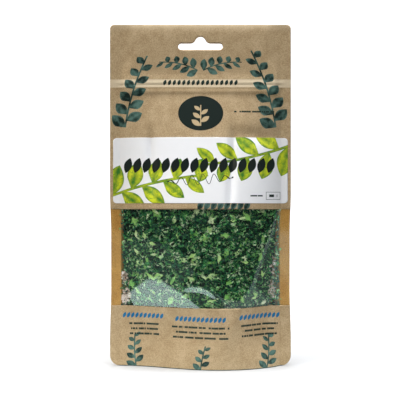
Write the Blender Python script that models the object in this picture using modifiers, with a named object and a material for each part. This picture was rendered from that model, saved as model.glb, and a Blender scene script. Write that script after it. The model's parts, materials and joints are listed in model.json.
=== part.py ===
"""A stand-up kraft pouch of dried sea lettuce flakes, shut and full, as separate solids.

The pouch stands on the lower edges of its front and back sheets. The frame is +Z up with the origin
at the centre of the base, the front faces -Y, and everything is in metres. Run it with
blender --background --python part.py, or from the text editor.

From the inside out the front is a heap of flakes, a few large flakes pressed flat against the
window, a clear film over the whole height, two kraft papers that leave a band of the film bare,
and a paper label. The back is one kraft sheet. A folded gusset closes the base, and a
press-to-close zip with two tracks runs across under the sealed header.
"""

import math
import random

import bmesh
import bpy
import numpy as np
from mathutils import Vector, noise

MM = 0.001

# Driving sizes of the pouch
POUCH_WIDTH = 130 * MM
POUCH_HEIGHT = 245 * MM
SIDE_SEAL = 7.2 * MM  # width of the flat, welded side edges
WAIST = 0.8 * MM  # how far each side is drawn in where the pouch is fattest
BASE_CORNER = 7.5 * MM  # radius of the lower corners
TOP_CORNER = 3.0 * MM
SHEET = 0.4 * MM  # thickness of the film and of each paper
LABEL_SHEET = 0.25 * MM
GAP = 0.3 * MM  # between pieces that touch

# Heights of the pieces on the front
WINDOW_BOTTOM = 43.4 * MM
WINDOW_TOP = 112.4 * MM
LABEL_BOTTOM = 116.6 * MM
LABEL_TOP = 163.5 * MM
LABEL_WIDTH = 125.6 * MM
LABEL_CORNER = 2.6 * MM

# How deep the pouch bulges in front of and behind its middle plane, as (height, depth)
FRONT_DEPTHS = ((0, 20.5), (18, 22.4), (43, 22.8), (80, 20.6), (112, 16.4), (140, 11.6),
                (165, 7.2), (185, 3.0), (194, 1.0), (200, 0.1), (206, 0), (245, 0))
BACK_DEPTHS = ((0, 20.9), (20, 23.1), (45, 23.5), (80, 21.2), (112, 16.8), (140, 11.8),
               (165, 7.2), (185, 3.0), (194, 1.0), (200, 0.1), (206, 0), (245, 0))
BULGE_HALF = POUCH_WIDTH / 2 - SIDE_SEAL
BELLY_SHIFT = 0.2  # the full part of the belly sits this share of the half width to the right
SLUMP_TOP = (50 * MM, 100 * MM)  # the lopsided belly turns into an even one between these heights

# The press-to-close zip: two tracks, each a rib in a groove
ZIP_TRACKS = (201.3 * MM, 205.0 * MM)
ZIP_LENGTH = 108 * MM
ZIP_FLANGE = (197.7 * MM, 208.6 * MM)
ZIP_FLANGE_SHEET = 0.3 * MM
ZIP_ROOM = 1.4 * MM  # how far the sheets stand off the middle plane over the zip
ZIP_SWELL_RUN = 4.5 * MM  # the height in which the sheets come back together
TRACK_RIDGE = 0.35 * MM  # each track shows as a low ridge on the sheets
TRACK_RIDGE_WIDTH = 0.9 * MM

# The hang slot in the header: a bar with a round bump on its upper edge
SLOT_WIDTH = 32.2 * MM
SLOT_BAR = 4.8 * MM
SLOT_BAR_MIDDLE = 229.2 * MM
SLOT_BUMP_RADIUS = 4.0 * MM
SLOT_BUMP_RISE = 0.8 * MM  # the bump's centre above the bar
SLOT_FILLET = 4.0 * MM

# The gusset: a saddle between the two sheets, low in the middle and high at the sides
GUSSET_HALF = 56.9 * MM
GUSSET_FOOT = 0.5 * MM
GUSSET_LOW = 5.0 * MM
GUSSET_RISE = 21.0 * MM
GUSSET_DOME = 4.0 * MM

# The flakes
HEAP_HALF = 54.6 * MM
HEAP_TOP = 151 * MM
HEAP_FRONT = 1.7 * MM  # behind the reference surface, with the lumps behind that
HEAP_LUMP = 1.9 * MM
HEAP_BACK = 0.6 * MM
FLAKE_COLUMNS = 8
FLAKE_ROWS = 5
FLAKE_SHEET = 0.3 * MM
FLAKE_DEPTH = 0.8 * MM  # the middle of a flake behind the reference surface
FLAKE_RADIUS = (2.3 * MM, 4.0 * MM)
FLAKE_CUP = 0.2 * MM
FLAKE_POINTS = 7
FLAKE_SEED = 11

# Columns and rows shared by every sheet, so that sheets that lie on each other stay parallel
COLUMNS = (0, 11, 22, 32, 41, 49, 54.3, 57.8, 65)
ROWS = (0, 0.8, 2.8, 7.5, 17, 30, 43.4, 57, 71, 85, 99, 112.4, 123, 135, 148, 163.5, 176, 187,
        194.5, 198.5, 201.3, 203.15, 205, 209, 213.5, 242, 244.1, 245)

COLOURS = {
    "kraft paper": ((0.46, 0.32, 0.18), 0.6),
    "lined kraft": ((0.43, 0.25, 0.09), 0.5),
    "clear film": ((0.92, 0.95, 0.95), 0.1),
    "label paper": ((0.92, 0.92, 0.93), 0.4),
    "zip plastic": ((0.85, 0.86, 0.84), 0.3),
    "dried frond": ((0.022, 0.075, 0.030), 0.6),
    "pale frond": ((0.30, 0.48, 0.13), 0.6),
}


def smooth(t):
    """0 below 0, 1 above 1, and an easy S between."""
    t = min(max(t, 0.0), 1.0)
    return t * t * (3 - 2 * t)


def through(stations, height):
    """The depth at a height, on a smooth curve through (height, depth) stations in millimetres."""
    heights, depths = (np.array(values, float) * MM for values in zip(*stations))
    slopes = np.gradient(depths, heights)
    i = int(np.clip(np.searchsorted(heights, height) - 1, 0, len(heights) - 2))
    step = heights[i + 1] - heights[i]
    t = (height - heights[i]) / step
    return float(
        depths[i] * (1 + 2 * t) * (1 - t) ** 2
        + depths[i + 1] * t * t * (3 - 2 * t)
        + slopes[i] * step * t * (1 - t) ** 2
        - slopes[i + 1] * step * t * t * (1 - t)
    )


def even_belly(q):
    """The bulge across the pouch as a share of its depth, for q from -1 to 1 between the seals."""
    return 1 - abs(q) ** 2.8


def lopsided_belly(q):
    """A belly that is round on the right and falls away in a slack hollow on the left."""
    if q >= BELLY_SHIFT:
        return 1 - ((q - BELLY_SHIFT) / (1 - BELLY_SHIFT)) ** 2.4
    return (1 + math.cos(math.pi * (BELLY_SHIFT - q) / (1 + BELLY_SHIFT))) / 2


def zip_swell(x, z):
    """How far the zip holds each sheet off the middle plane."""
    below, above = ZIP_FLANGE
    up = smooth((z - below + ZIP_SWELL_RUN) / ZIP_SWELL_RUN)
    down = smooth((above + ZIP_SWELL_RUN - z) / ZIP_SWELL_RUN)
    across = smooth((BULGE_HALF - abs(x)) / (BULGE_HALF - ZIP_LENGTH / 2))
    tracks = sum(math.exp(-(((z - track) / TRACK_RIDGE_WIDTH) ** 2)) for track in ZIP_TRACKS)
    return across * (ZIP_ROOM * up * down + TRACK_RIDGE * tracks)


def front_depth(x, z):
    """How far the front's reference surface stands in front of the middle plane."""
    q = across_belly(x, z)
    even = smooth((z - SLUMP_TOP[0]) / (SLUMP_TOP[1] - SLUMP_TOP[0]))
    belly = even * even_belly(q) + (1 - even) * lopsided_belly(q)
    return through(FRONT_DEPTHS, z) * belly + zip_swell(x, z)


def back_depth(x, z):
    """How far the back's reference surface stands behind the middle plane."""
    q = across_belly(x, z)
    return through(BACK_DEPTHS, z) * even_belly(q) + zip_swell(x, z)


def straight_half_width(z):
    """Half the pouch's width at a height, with the waist but with square corners."""
    into_waist = smooth((z - 15 * MM) / (40 * MM)) * smooth((125 * MM - z) / (30 * MM))
    return POUCH_WIDTH / 2 - WAIST * into_waist


def across_belly(x, z):
    """Where a point lies between the side seals, from -1 to 1."""
    return min(max(x / (straight_half_width(z) - SIDE_SEAL), -1.0), 1.0)


def half_width(z):
    """Half the pouch's width at a height, with the waist and the rounded corners."""
    half = straight_half_width(z)
    if z < BASE_CORNER:
        half -= BASE_CORNER - math.sqrt(BASE_CORNER**2 - (BASE_CORNER - z) ** 2)
    into_top = z - (POUCH_HEIGHT - TOP_CORNER)
    if into_top > 0:
        half -= TOP_CORNER - math.sqrt(max(TOP_CORNER**2 - into_top**2, 0.0))
    return half


def layer_point(x, z, offset, side):
    """The point over (x, z) on a layer offset outwards from the front (side -1) or back (side 1)."""
    depth = front_depth if side < 0 else back_depth
    step = 0.5 * MM
    low, high = max(z - step, 0.0), min(z + step, POUCH_HEIGHT)
    across = (depth(x + step, z) - depth(x - step, z)) / (2 * step)
    upward = (depth(x, high) - depth(x, low)) / (high - low)
    normal = Vector((-across, side, -upward)).normalized()
    point = Vector((x, side * depth(x, z), z)) + offset * normal
    if z in (0, POUCH_HEIGHT):
        point.z = z
    return point


def mesh_object(name, bm, material, collection):
    """A new object from a bmesh, smooth where it is gentle, with its own material."""
    mesh = bpy.data.meshes.new(name)
    bm.to_mesh(mesh)
    bm.free()
    mesh.materials.append(material)
    mesh.shade_smooth()
    mesh.set_sharp_from_angle(angle=math.radians(35))
    obj = bpy.data.objects.new(name, mesh)
    collection.objects.link(obj)
    return obj


def grid(columns, rows):
    """A flat bmesh grid with (column, row) for each vertex, both counted from 0."""
    bm = bmesh.new()
    bmesh.ops.create_grid(bm, x_segments=columns - 1, y_segments=rows - 1, size=1)
    bmesh.ops.triangulate(bm, faces=bm.faces, quad_method="FIXED")
    places = {}
    for vertex in bm.verts:
        places[vertex] = (
            round((vertex.co.x + 1) / 2 * (columns - 1)),
            round((vertex.co.y + 1) / 2 * (rows - 1)),
        )
    return bm, places


def closed_sheet(name, columns, rows, point, material, collection):
    """A sheet as a solid, where point(column, row, face) places its inner face 0 and outer face 1."""
    bm, places = grid(columns, rows)
    copied = bmesh.ops.extrude_face_region(bm, geom=bm.faces[:])["geom"]
    outer = {element for element in copied if isinstance(element, bmesh.types.BMVert)}
    by_spot = {vertex.co.to_2d().to_tuple(4): place for vertex, place in places.items()}
    for vertex in bm.verts:
        i, j = by_spot[vertex.co.to_2d().to_tuple(4)]
        vertex.co = point(i, j, 1 if vertex in outer else 0)
    bmesh.ops.recalc_face_normals(bm, faces=bm.faces)
    return mesh_object(name, bm, material, collection)


def thicken(obj, thickness, outwards):
    """Turns an open sheet into a solid, on one side of it."""
    solidify = obj.modifiers.new("sheet thickness", "SOLIDIFY")
    solidify.thickness = thickness
    solidify.offset = 1 if outwards else -1
    solidify.use_even_offset = True


def all_columns():
    """The columns from left to right, in metres."""
    right = [x * MM for x in COLUMNS]
    return [-x for x in reversed(right[1:])] + right


def rows_between(low, high, extra=()):
    """The shared rows from low to high, with the two ends and any extra heights."""
    inside = [z * MM for z in ROWS if low < z * MM < high]
    return sorted({round(z, 7) for z in [low, high, *inside, *extra]})


def sheet(name, low, high, offset, side, material, collection):
    """A sheet as wide as the pouch, from low to high, whose inner face is offset from the reference."""
    columns, rows = all_columns(), rows_between(low, high)

    def point(i, j, face):
        z = rows[j]
        x = columns[i] * half_width(z) / (POUCH_WIDTH / 2)
        return layer_point(x, z, offset + face * SHEET, side)

    return closed_sheet(name, len(columns), len(rows), point, material, collection)


def label(material, collection):
    """The paper label across the front, with rounded corners."""
    half, corner = LABEL_WIDTH / 2, LABEL_CORNER
    ends = [corner * (1 - math.cos(math.radians(a))) for a in (25, 55, 90)]
    rows = rows_between(
        LABEL_BOTTOM, LABEL_TOP, [LABEL_BOTTOM + e for e in ends] + [LABEL_TOP - e for e in ends]
    )
    columns = all_columns()

    def point(i, j, face):
        z = rows[j]
        from_end = min(z - LABEL_BOTTOM, LABEL_TOP - z, corner)
        x = columns[i] * half_width(z) / (POUCH_WIDTH / 2)
        if i in (0, len(columns) - 1):
            edge = half - corner + math.sqrt(max(corner**2 - (corner - from_end) ** 2, 0.0))
            x = math.copysign(edge, x)
        return layer_point(x, z, GAP / 2 + 2 * SHEET + 2 * GAP + face * LABEL_SHEET, -1)

    return closed_sheet("label", len(columns), len(rows), point, material, collection)


def gusset_crest(x):
    """The height at which the gusset leaves the front and back sheets."""
    return GUSSET_LOW + GUSSET_RISE * (abs(x) / GUSSET_HALF) ** 2.2


def gusset_dome(x):
    """How far the middle of the gusset stands above its crest."""
    return GUSSET_DOME * (1 - 0.6 * (abs(x) / GUSSET_HALF) ** 2)


def gusset(material, collection):
    """The folded base: a flange up the inside of each sheet and a domed web between them."""
    flange, web = 3, 8
    columns = [x for x in all_columns() if abs(x) < GUSSET_HALF]
    columns = [-GUSSET_HALF, *columns, GUSSET_HALF]
    rows = 2 * flange + web + 1
    bm, places = grid(len(columns), rows)
    for vertex, (i, j) in places.items():
        x = columns[i]
        crest = gusset_crest(x)
        front = layer_point(x, crest, -GAP / 2, -1).y
        back = layer_point(x, crest, -GAP / 2, 1).y
        from_end = min(j, rows - 1 - j)
        if from_end <= flange:
            z = GUSSET_FOOT + (crest - GUSSET_FOOT) * from_end / flange
            side = -1 if j <= flange else 1
            y = layer_point(x, z, -GAP / 2, side).y
        else:
            t = (j - flange) / web
            y = front + (back - front) * t
            z = crest + gusset_dome(x) * 4 * t * (1 - t)
        vertex.co = (x, y, z)
    obj = mesh_object("bottom_gusset", bm, material, collection)
    thicken(obj, SHEET, outwards=False)
    return obj


def extruded_along_x(name, outline, length, material, collection):
    """A prism along X from an outline of (y, z) points, made from a filled flat curve."""
    curve = bpy.data.curves.new(name, "CURVE")
    curve.dimensions = "2D"
    curve.fill_mode = "BOTH"
    curve.extrude = length / 2
    spline = curve.splines.new("POLY")
    spline.points.add(len(outline) - 1)
    for point, (y, z) in zip(spline.points, outline):
        point.co = (y, z, 0, 1)
    spline.use_cyclic_u = True
    curve.materials.append(material)
    obj = bpy.data.objects.new(name, curve)
    obj.rotation_euler = (math.radians(90), 0, math.radians(90))
    collection.objects.link(obj)
    return obj


def zip_rib_strip(material, collection):
    """The front half of the zip: a flange with two arrow-headed ribs that point back."""
    outer = ZIP_ROOM - GAP / 2
    inner = outer - ZIP_FLANGE_SHEET
    stem, head, neck, tip = 0.25 * MM, 0.6 * MM, 0.0, 0.45 * MM
    low, high = ZIP_FLANGE
    outline = [(-outer, high), (-outer, low), (-inner, low)]
    for track in ZIP_TRACKS:
        outline += [
            (-inner, track - stem), (neck, track - stem), (neck, track - head),
            (tip, track - head), (tip, track + head), (neck, track + head),
            (neck, track + stem), (-inner, track + stem),
        ]
    outline.append((-inner, high))
    return extruded_along_x("zip_rib_strip", outline, ZIP_LENGTH, material, collection)


def zip_groove_strip(material, collection):
    """The back half of the zip: a flange with two pairs of hooked jaws around the ribs."""
    outer = ZIP_ROOM - GAP / 2
    inner = outer - ZIP_FLANGE_SHEET
    jaw_in, jaw_out, hook, tip, barb = 0.9 * MM, 1.3 * MM, 0.55 * MM, -0.6 * MM, -0.3 * MM
    low, high = ZIP_FLANGE
    outline = [(outer, high), (outer, low), (inner, low)]
    for track in ZIP_TRACKS:
        outline += [
            (inner, track - jaw_out), (tip, track - jaw_out), (tip, track - hook),
            (barb, track - hook), (barb, track - jaw_in), (inner, track - jaw_in),
            (inner, track + jaw_in), (barb, track + jaw_in), (barb, track + hook),
            (tip, track + hook), (tip, track + jaw_out), (inner, track + jaw_out),
        ]
    outline.append((inner, high))
    return extruded_along_x("zip_groove_strip", outline, ZIP_LENGTH, material, collection)


def arc(centre, radius, start, end, steps):
    """Points on an arc in the (x, z) plane, with angles in degrees and both ends included."""
    angles = [math.radians(start + (end - start) * k / steps) for k in range(steps + 1)]
    return [(centre[0] + radius * math.cos(a), centre[1] + radius * math.sin(a)) for a in angles]


def hang_slot_cutter(collection):
    """A prism in the shape of the hang slot, long enough to pass through the whole header."""
    end = SLOT_BAR / 2
    side = SLOT_WIDTH / 2 - end
    bar_top = SLOT_BAR_MIDDLE + end
    bump = (0.0, bar_top + SLOT_BUMP_RISE)
    reach = SLOT_BUMP_RADIUS + SLOT_FILLET
    fillet_x = math.sqrt(reach**2 - (SLOT_FILLET - SLOT_BUMP_RISE) ** 2)
    lean = math.degrees(math.atan2(SLOT_FILLET - SLOT_BUMP_RISE, fillet_x))
    outline = arc((side, SLOT_BAR_MIDDLE), end, -90, 90, 6)
    outline += arc((fillet_x, bar_top + SLOT_FILLET), SLOT_FILLET, 270, 180 + lean, 3)
    outline += arc(bump, SLOT_BUMP_RADIUS, lean, 180 - lean, 8)[1:-1]
    outline += arc((-fillet_x, bar_top + SLOT_FILLET), SLOT_FILLET, 360 - lean, 270, 3)
    outline += arc((-side, SLOT_BAR_MIDDLE), end, 90, 270, 6)
    curve = bpy.data.curves.new("hang slot outline", "CURVE")
    curve.dimensions = "2D"
    curve.fill_mode = "BOTH"
    curve.extrude = 5 * MM
    spline = curve.splines.new("POLY")
    spline.points.add(len(outline) - 1)
    for point, (x, z) in zip(spline.points, outline):
        point.co = (x, z, 0, 1)
    spline.use_cyclic_u = True
    drawn = bpy.data.objects.new("hang slot outline", curve)
    drawn.rotation_euler = (math.radians(90), 0, 0)
    collection.objects.link(drawn)
    bpy.context.view_layer.update()
    mesh = bpy.data.meshes.new_from_object(drawn.evaluated_get(bpy.context.evaluated_depsgraph_get()))
    bm = bmesh.new()
    bm.from_mesh(mesh)
    bmesh.ops.remove_doubles(bm, verts=bm.verts, dist=0.01 * MM)
    bmesh.ops.recalc_face_normals(bm, faces=bm.faces)
    bm.to_mesh(mesh)
    bm.free()
    cutter = bpy.data.objects.new("hang slot cutter", mesh)
    cutter.matrix_world = drawn.matrix_world
    cutter.hide_render = True
    cutter.display_type = "WIRE"
    collection.objects.link(cutter)
    bpy.data.objects.remove(drawn)
    return cutter


def cut(obj, cutter):
    """Cuts the hang slot through a sheet."""
    boolean = obj.modifiers.new("hang slot", "BOOLEAN")
    boolean.operation = "DIFFERENCE"
    boolean.object = cutter


def flake_heap(material, collection):
    """The body of loose flakes, which fills the pouch from the gusset up, with a lumpy surface."""
    bm = bmesh.new()
    bmesh.ops.create_cube(bm, size=2)
    for axis, cuts in ((Vector((1, 0, 0)), 17), (Vector((0, 0, 1)), 19), (Vector((0, 1, 0)), 2)):
        for k in range(1, cuts + 1):
            place = axis * (2 * k / (cuts + 1) - 1)
            geometry = bm.verts[:] + bm.edges[:] + bm.faces[:]
            bmesh.ops.bisect_plane(bm, geom=geometry, plane_co=place, plane_no=axis)
    for vertex in bm.verts:
        a, b, c = vertex.co
        x = HEAP_HALF * a
        low = gusset_crest(x) + gusset_dome(x) + 3 * GAP
        mound = 5 * MM * a * a + 2 * MM * noise.noise(Vector((4 * a, 2 * b, 0)))
        z = low + (HEAP_TOP - mound - low) * (c + 1) / 2
        lump = HEAP_LUMP * (noise.noise(Vector((x, z, b * 10 * MM)) * 230) + 1) / 2
        front = layer_point(x, z, -(HEAP_FRONT + lump), -1)
        back = layer_point(x, z, -(HEAP_BACK + lump / 2), 1)
        vertex.co = front.lerp(back, (b + 1) / 2)
    bmesh.ops.recalc_face_normals(bm, faces=bm.faces)
    return mesh_object("flake_heap", bm, material, collection)


def leaf_flake(name, x, z, radius, chance, material, collection):
    """One large flake: a torn, slightly cupped scrap of frond that lies along the window."""
    bm = bmesh.new()
    bmesh.ops.create_circle(bm, cap_ends=True, cap_tris=True, segments=FLAKE_POINTS, radius=1)
    stretch, turn = chance.uniform(0.62, 1.0), chance.uniform(0, math.tau)
    bowl = FLAKE_CUP * chance.choice((-1, 1))
    for vertex in bm.verts:
        torn = chance.uniform(0.66, 1.0) * vertex.co.length
        along, up = vertex.co.x * torn, vertex.co.y * torn * stretch
        dx = radius * (along * math.cos(turn) - up * math.sin(turn))
        dz = radius * (along * math.sin(turn) + up * math.cos(turn))
        deeper = bowl * (0.5 - torn * torn)
        vertex.co = layer_point(x + dx, z + dz, -(FLAKE_DEPTH + deeper - FLAKE_SHEET / 2), -1)
    bmesh.ops.recalc_face_normals(bm, faces=bm.faces)
    if sum(face.normal.y for face in bm.faces) > 0:
        bmesh.ops.reverse_faces(bm, faces=bm.faces)
    obj = mesh_object(name, bm, material, collection)
    thicken(obj, FLAKE_SHEET, outwards=False)
    return obj


def large_flakes(materials, collection):
    """The largest flakes behind the window, one to a cell of a loose grid so that none overlap."""
    chance = random.Random(FLAKE_SEED)
    across = 2 * (BULGE_HALF - 6 * MM) / FLAKE_COLUMNS
    upward = (WINDOW_TOP - WINDOW_BOTTOM) / FLAKE_ROWS
    for k in range(FLAKE_COLUMNS * FLAKE_ROWS):
        column, row = k % FLAKE_COLUMNS, k // FLAKE_COLUMNS
        radius = chance.uniform(*FLAKE_RADIUS)
        room_x, room_z = across / 2 - radius - GAP, upward / 2 - radius - GAP
        x = (column + 0.5 - FLAKE_COLUMNS / 2) * across + chance.uniform(-room_x, room_x)
        z = WINDOW_BOTTOM + (row + 0.5) * upward + chance.uniform(-room_z, room_z)
        leaf_flake(f"leaf_flake_{k + 1:02d}", x, z, radius, chance, materials[k % 3 == 0], collection)


def make_material(name):
    """A plain Principled material with the colour and roughness from COLOURS."""
    colour, roughness = COLOURS[name]
    material = bpy.data.materials.new(name)
    material.use_nodes = True
    shader = material.node_tree.nodes["Principled BSDF"]
    shader.inputs["Base Color"].default_value = (*colour, 1)
    shader.inputs["Roughness"].default_value = roughness
    shader.inputs["Metallic"].default_value = 0
    if name == "clear film":
        shader.inputs["Transmission Weight"].default_value = 1
    return material


def new_collection(name):
    """A collection linked to the scene."""
    collection = bpy.data.collections.new(name)
    bpy.context.scene.collection.children.link(collection)
    return collection


def main():
    """Builds the pouch, its zip and label, and the flakes in it."""
    for obj in list(bpy.data.objects):
        bpy.data.objects.remove(obj, do_unlink=True)
    pouch = new_collection("pouch of dried sea lettuce")
    cutters = new_collection("cutters")
    materials = {name: make_material(name) for name in COLOURS}
    kraft = materials["kraft paper"]
    film_face = GAP / 2
    paper_face = film_face + SHEET + GAP

    slot = hang_slot_cutter(cutters)
    back = sheet("back_panel", 0, POUCH_HEIGHT, film_face, 1, materials["lined kraft"], pouch)
    film = sheet("front_film", 0, POUCH_HEIGHT, film_face, -1, materials["clear film"], pouch)
    upper = sheet("upper_kraft_panel", WINDOW_TOP, POUCH_HEIGHT, paper_face, -1, kraft, pouch)
    sheet("lower_kraft_panel", 0, WINDOW_BOTTOM, paper_face, -1, kraft, pouch)
    for slotted in (back, film, upper):
        cut(slotted, slot)
    label(materials["label paper"], pouch)
    gusset(kraft, pouch)
    zip_rib_strip(materials["zip plastic"], pouch)
    zip_groove_strip(materials["zip plastic"], pouch)
    flake_heap(materials["dried frond"], pouch)
    large_flakes((materials["dried frond"], materials["pale frond"]), pouch)


if __name__ == "__main__":
    main()
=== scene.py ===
"""Looks for a filled stand-up pouch of dried sea lettuce flakes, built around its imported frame.

The pouch is kraft paper laminated to clear film. The paper leaves a band of the film bare, and the
flakes show through it. Every new piece rides on the frame's one body, root.
"""

import json
import logging
import math
import random
from dataclasses import dataclass, replace
from enum import Enum
from functools import partial, reduce
from typing import Any, Callable

import bmesh
import bpy
import numpy as np
from mathutils import Euler, Matrix, Vector, noise

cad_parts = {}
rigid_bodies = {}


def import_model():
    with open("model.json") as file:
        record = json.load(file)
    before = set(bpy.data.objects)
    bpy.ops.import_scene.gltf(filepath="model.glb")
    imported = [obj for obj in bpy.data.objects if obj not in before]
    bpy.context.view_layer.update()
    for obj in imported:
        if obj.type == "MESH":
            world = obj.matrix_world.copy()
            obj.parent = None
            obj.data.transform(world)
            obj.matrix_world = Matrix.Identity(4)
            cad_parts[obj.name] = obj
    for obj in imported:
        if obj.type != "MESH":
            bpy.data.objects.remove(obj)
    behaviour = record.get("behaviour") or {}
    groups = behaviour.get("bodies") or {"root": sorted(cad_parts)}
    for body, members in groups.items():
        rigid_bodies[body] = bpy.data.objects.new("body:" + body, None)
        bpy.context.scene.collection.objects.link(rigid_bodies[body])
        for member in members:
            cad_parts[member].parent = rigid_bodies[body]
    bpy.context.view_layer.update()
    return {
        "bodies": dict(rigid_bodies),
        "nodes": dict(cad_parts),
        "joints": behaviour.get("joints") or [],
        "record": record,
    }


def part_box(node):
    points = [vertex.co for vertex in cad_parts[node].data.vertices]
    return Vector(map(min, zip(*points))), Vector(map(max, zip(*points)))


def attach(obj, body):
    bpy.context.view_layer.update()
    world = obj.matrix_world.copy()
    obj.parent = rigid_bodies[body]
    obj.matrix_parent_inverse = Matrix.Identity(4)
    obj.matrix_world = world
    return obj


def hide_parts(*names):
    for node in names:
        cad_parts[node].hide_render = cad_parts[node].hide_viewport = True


log = logging.getLogger("pouch")

MM = 0.001
BODY = "root"
Node = bpy.types.Node
Material = bpy.types.Material
Object = bpy.types.Object
Add = Callable[..., Node]
Pair = tuple[float, float]
Reach = tuple[float, float, float, float]  # where something starts, is full, is full still and ends


def linear(code: str) -> tuple[float, float, float, float]:
    """Turns an sRGB hex colour into the linear colour that a shader reads.

    Args:
        code: The colour as "#RRGGBB".

    Returns:
        Linear red, green and blue, and full alpha.
    """
    parts = [int(code[k : k + 2], 16) / 255 for k in (1, 3, 5)]
    light = [c / 12.92 if c <= 0.04045 else ((c + 0.055) / 1.055) ** 2.4 for c in parts]
    return light[0], light[1], light[2], 1.0


def add_node(tree: bpy.types.NodeTree, kind: str, inputs: Any = (), **settings: Any) -> Node:
    """Adds one node, with its settings, its values and its links.

    Args:
        tree: The tree that the node goes in.
        kind: The node's type without its ShaderNode prefix, and after a dot its operation, if it has one.
        inputs: Values, sockets or nodes for the enabled inputs, in order or by name.
        **settings: The node's own properties.

    Returns:
        The new node.
    """
    kind, _, operation = kind.partition(".")
    node = tree.nodes.new(f"ShaderNode{kind}")
    if operation:
        node.operation = operation
    for name, value in settings.items():
        setattr(node, name, value)
    enabled = [socket for socket in node.inputs if socket.enabled]
    by_name = isinstance(inputs, dict)
    sockets = {socket.name: socket for socket in enabled} if by_name else enabled
    for key, value in inputs.items() if by_name else enumerate(inputs):
        if isinstance(value, Node):
            value = next(socket for socket in value.outputs if socket.enabled)
        if isinstance(value, bpy.types.NodeSocket):
            tree.links.new(value, sockets[key])
        else:
            sockets[key].default_value = value
    return node


def fold(add: Add, operation: str, *terms: Any) -> Node:
    """Joins terms by one operation, from the first to the last.

    Args:
        add: Adds a node to the tree.
        operation: The Math node's operation.
        *terms: Nodes, sockets or numbers.

    Returns:
        The joined term.
    """
    return reduce(lambda so_far, term: add(f"Math.{operation}", (so_far, term)), terms)


def weighed(add: Add, first: Any, first_share: float, second: Any, second_share: float) -> Node:
    """Adds two terms, each times its share."""
    return add("Math.MULTIPLY_ADD", (first, first_share, add("Math.MULTIPLY", (second, second_share))))


def fill_ramp(node: Node, stops: tuple[tuple[float, str], ...]) -> Node:
    """Gives a colour ramp its stops.

    Args:
        node: The colour ramp node.
        stops: Position and sRGB hex colour, from low to high.

    Returns:
        The same node.
    """
    elements = node.color_ramp.elements
    while len(elements) > len(stops):
        elements.remove(elements[-1])
    while len(elements) < len(stops):
        elements.new(1.0)
    for element, (position, code) in zip(elements, stops):
        element.position = position
        element.color = linear(code)
    return node


def smooth_step(t: np.ndarray) -> np.ndarray:
    """Rises from 0 below 0 to 1 above 1 in an easy S."""
    t = np.clip(t, 0.0, 1.0)
    return t * t * (3 - 2 * t)


def rise_and_fall(z: np.ndarray, reach: Reach) -> np.ndarray:
    """Rises from 0 to 1, stays and falls to 0 again, at the four places of its reach."""
    low, full, still, high = reach
    return smooth_step((z - low) / (full - low)) * smooth_step((high - z) / (high - still))


def cos_sin(turn: float) -> Pair:
    """The cosine and the sine of an angle in degrees."""
    return math.cos(math.radians(turn)), math.sin(math.radians(turn))


@dataclass(frozen=True)
class Buckle:
    """A soft ridge or valley pressed into the front laminate, with sizes in millimetres."""

    x: float
    z: float
    angle: float  # of its length, in degrees from +X towards +Z
    length: float
    width: float
    height: float  # outwards, so a valley is below zero
    bow: float = 0.0  # how far its ends curve to its left side

    def lift(self, x: np.ndarray, z: np.ndarray) -> np.ndarray:
        """Measures how far the buckle lifts each point.

        Args:
            x: Places across, in millimetres.
            z: Heights, in millimetres.

        Returns:
            The lifts, in millimetres.
        """
        c, s = cos_sin(self.angle)
        share = ((x - self.x) * c + (z - self.z) * s) * 2 / self.length
        across = (z - self.z) * c - (x - self.x) * s - self.bow * share**2
        fade = np.exp(-(share**4))
        return self.height * fade * np.exp(-((across / self.width) ** 2))


@dataclass(frozen=True)
class Facet:
    """A flat that the weight of the flakes leaves in the front, with sizes in millimetres.

    Two points of the front set where its crease runs, and its fall how steeply it turns down.
    """

    start: Pair
    end: Pair
    fall: float  # depth gained for each millimetre up
    reach: Reach  # in height
    crease: float  # how far the crease rounds it off
    least: float = 0.9  # the depth that it leaves beside the seal

    def cut(self, x: np.ndarray, z: np.ndarray, depth: np.ndarray, ends: Pair) -> np.ndarray:
        """Cuts the flat into a surface.

        Args:
            x: Places across.
            z: Heights.
            depth: The surface's depth at them.
            ends: The surface's depth at the two points.

        Returns:
            The depth with the flat cut in.
        """
        rise = ends[1] - ends[0] - self.fall * (self.end[1] - self.start[1])
        across = rise / (self.end[0] - self.start[0])
        flat = ends[0] + across * (x - self.start[0]) + self.fall * (z - self.start[1])
        share = np.clip(0.5 + 0.5 * (flat - depth) / self.crease, 0, 1)
        lower = flat + (depth - flat) * share - self.crease * share * (1 - share)
        lower = np.maximum(lower, np.minimum(depth, self.least))
        return depth + rise_and_fall(z, self.reach) * (lower - depth)


# Heights and depths of both sheets from the label's top up to the header, where they meet
CLOSING = (
    (165, 7.2), (175, 5.4), (185, 3.6), (190, 2.65), (193, 1.75), (195.3, 0.95), (197.7, 0.35),
    (200, 0.08), (203, 0), (245, 0),
)


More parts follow.
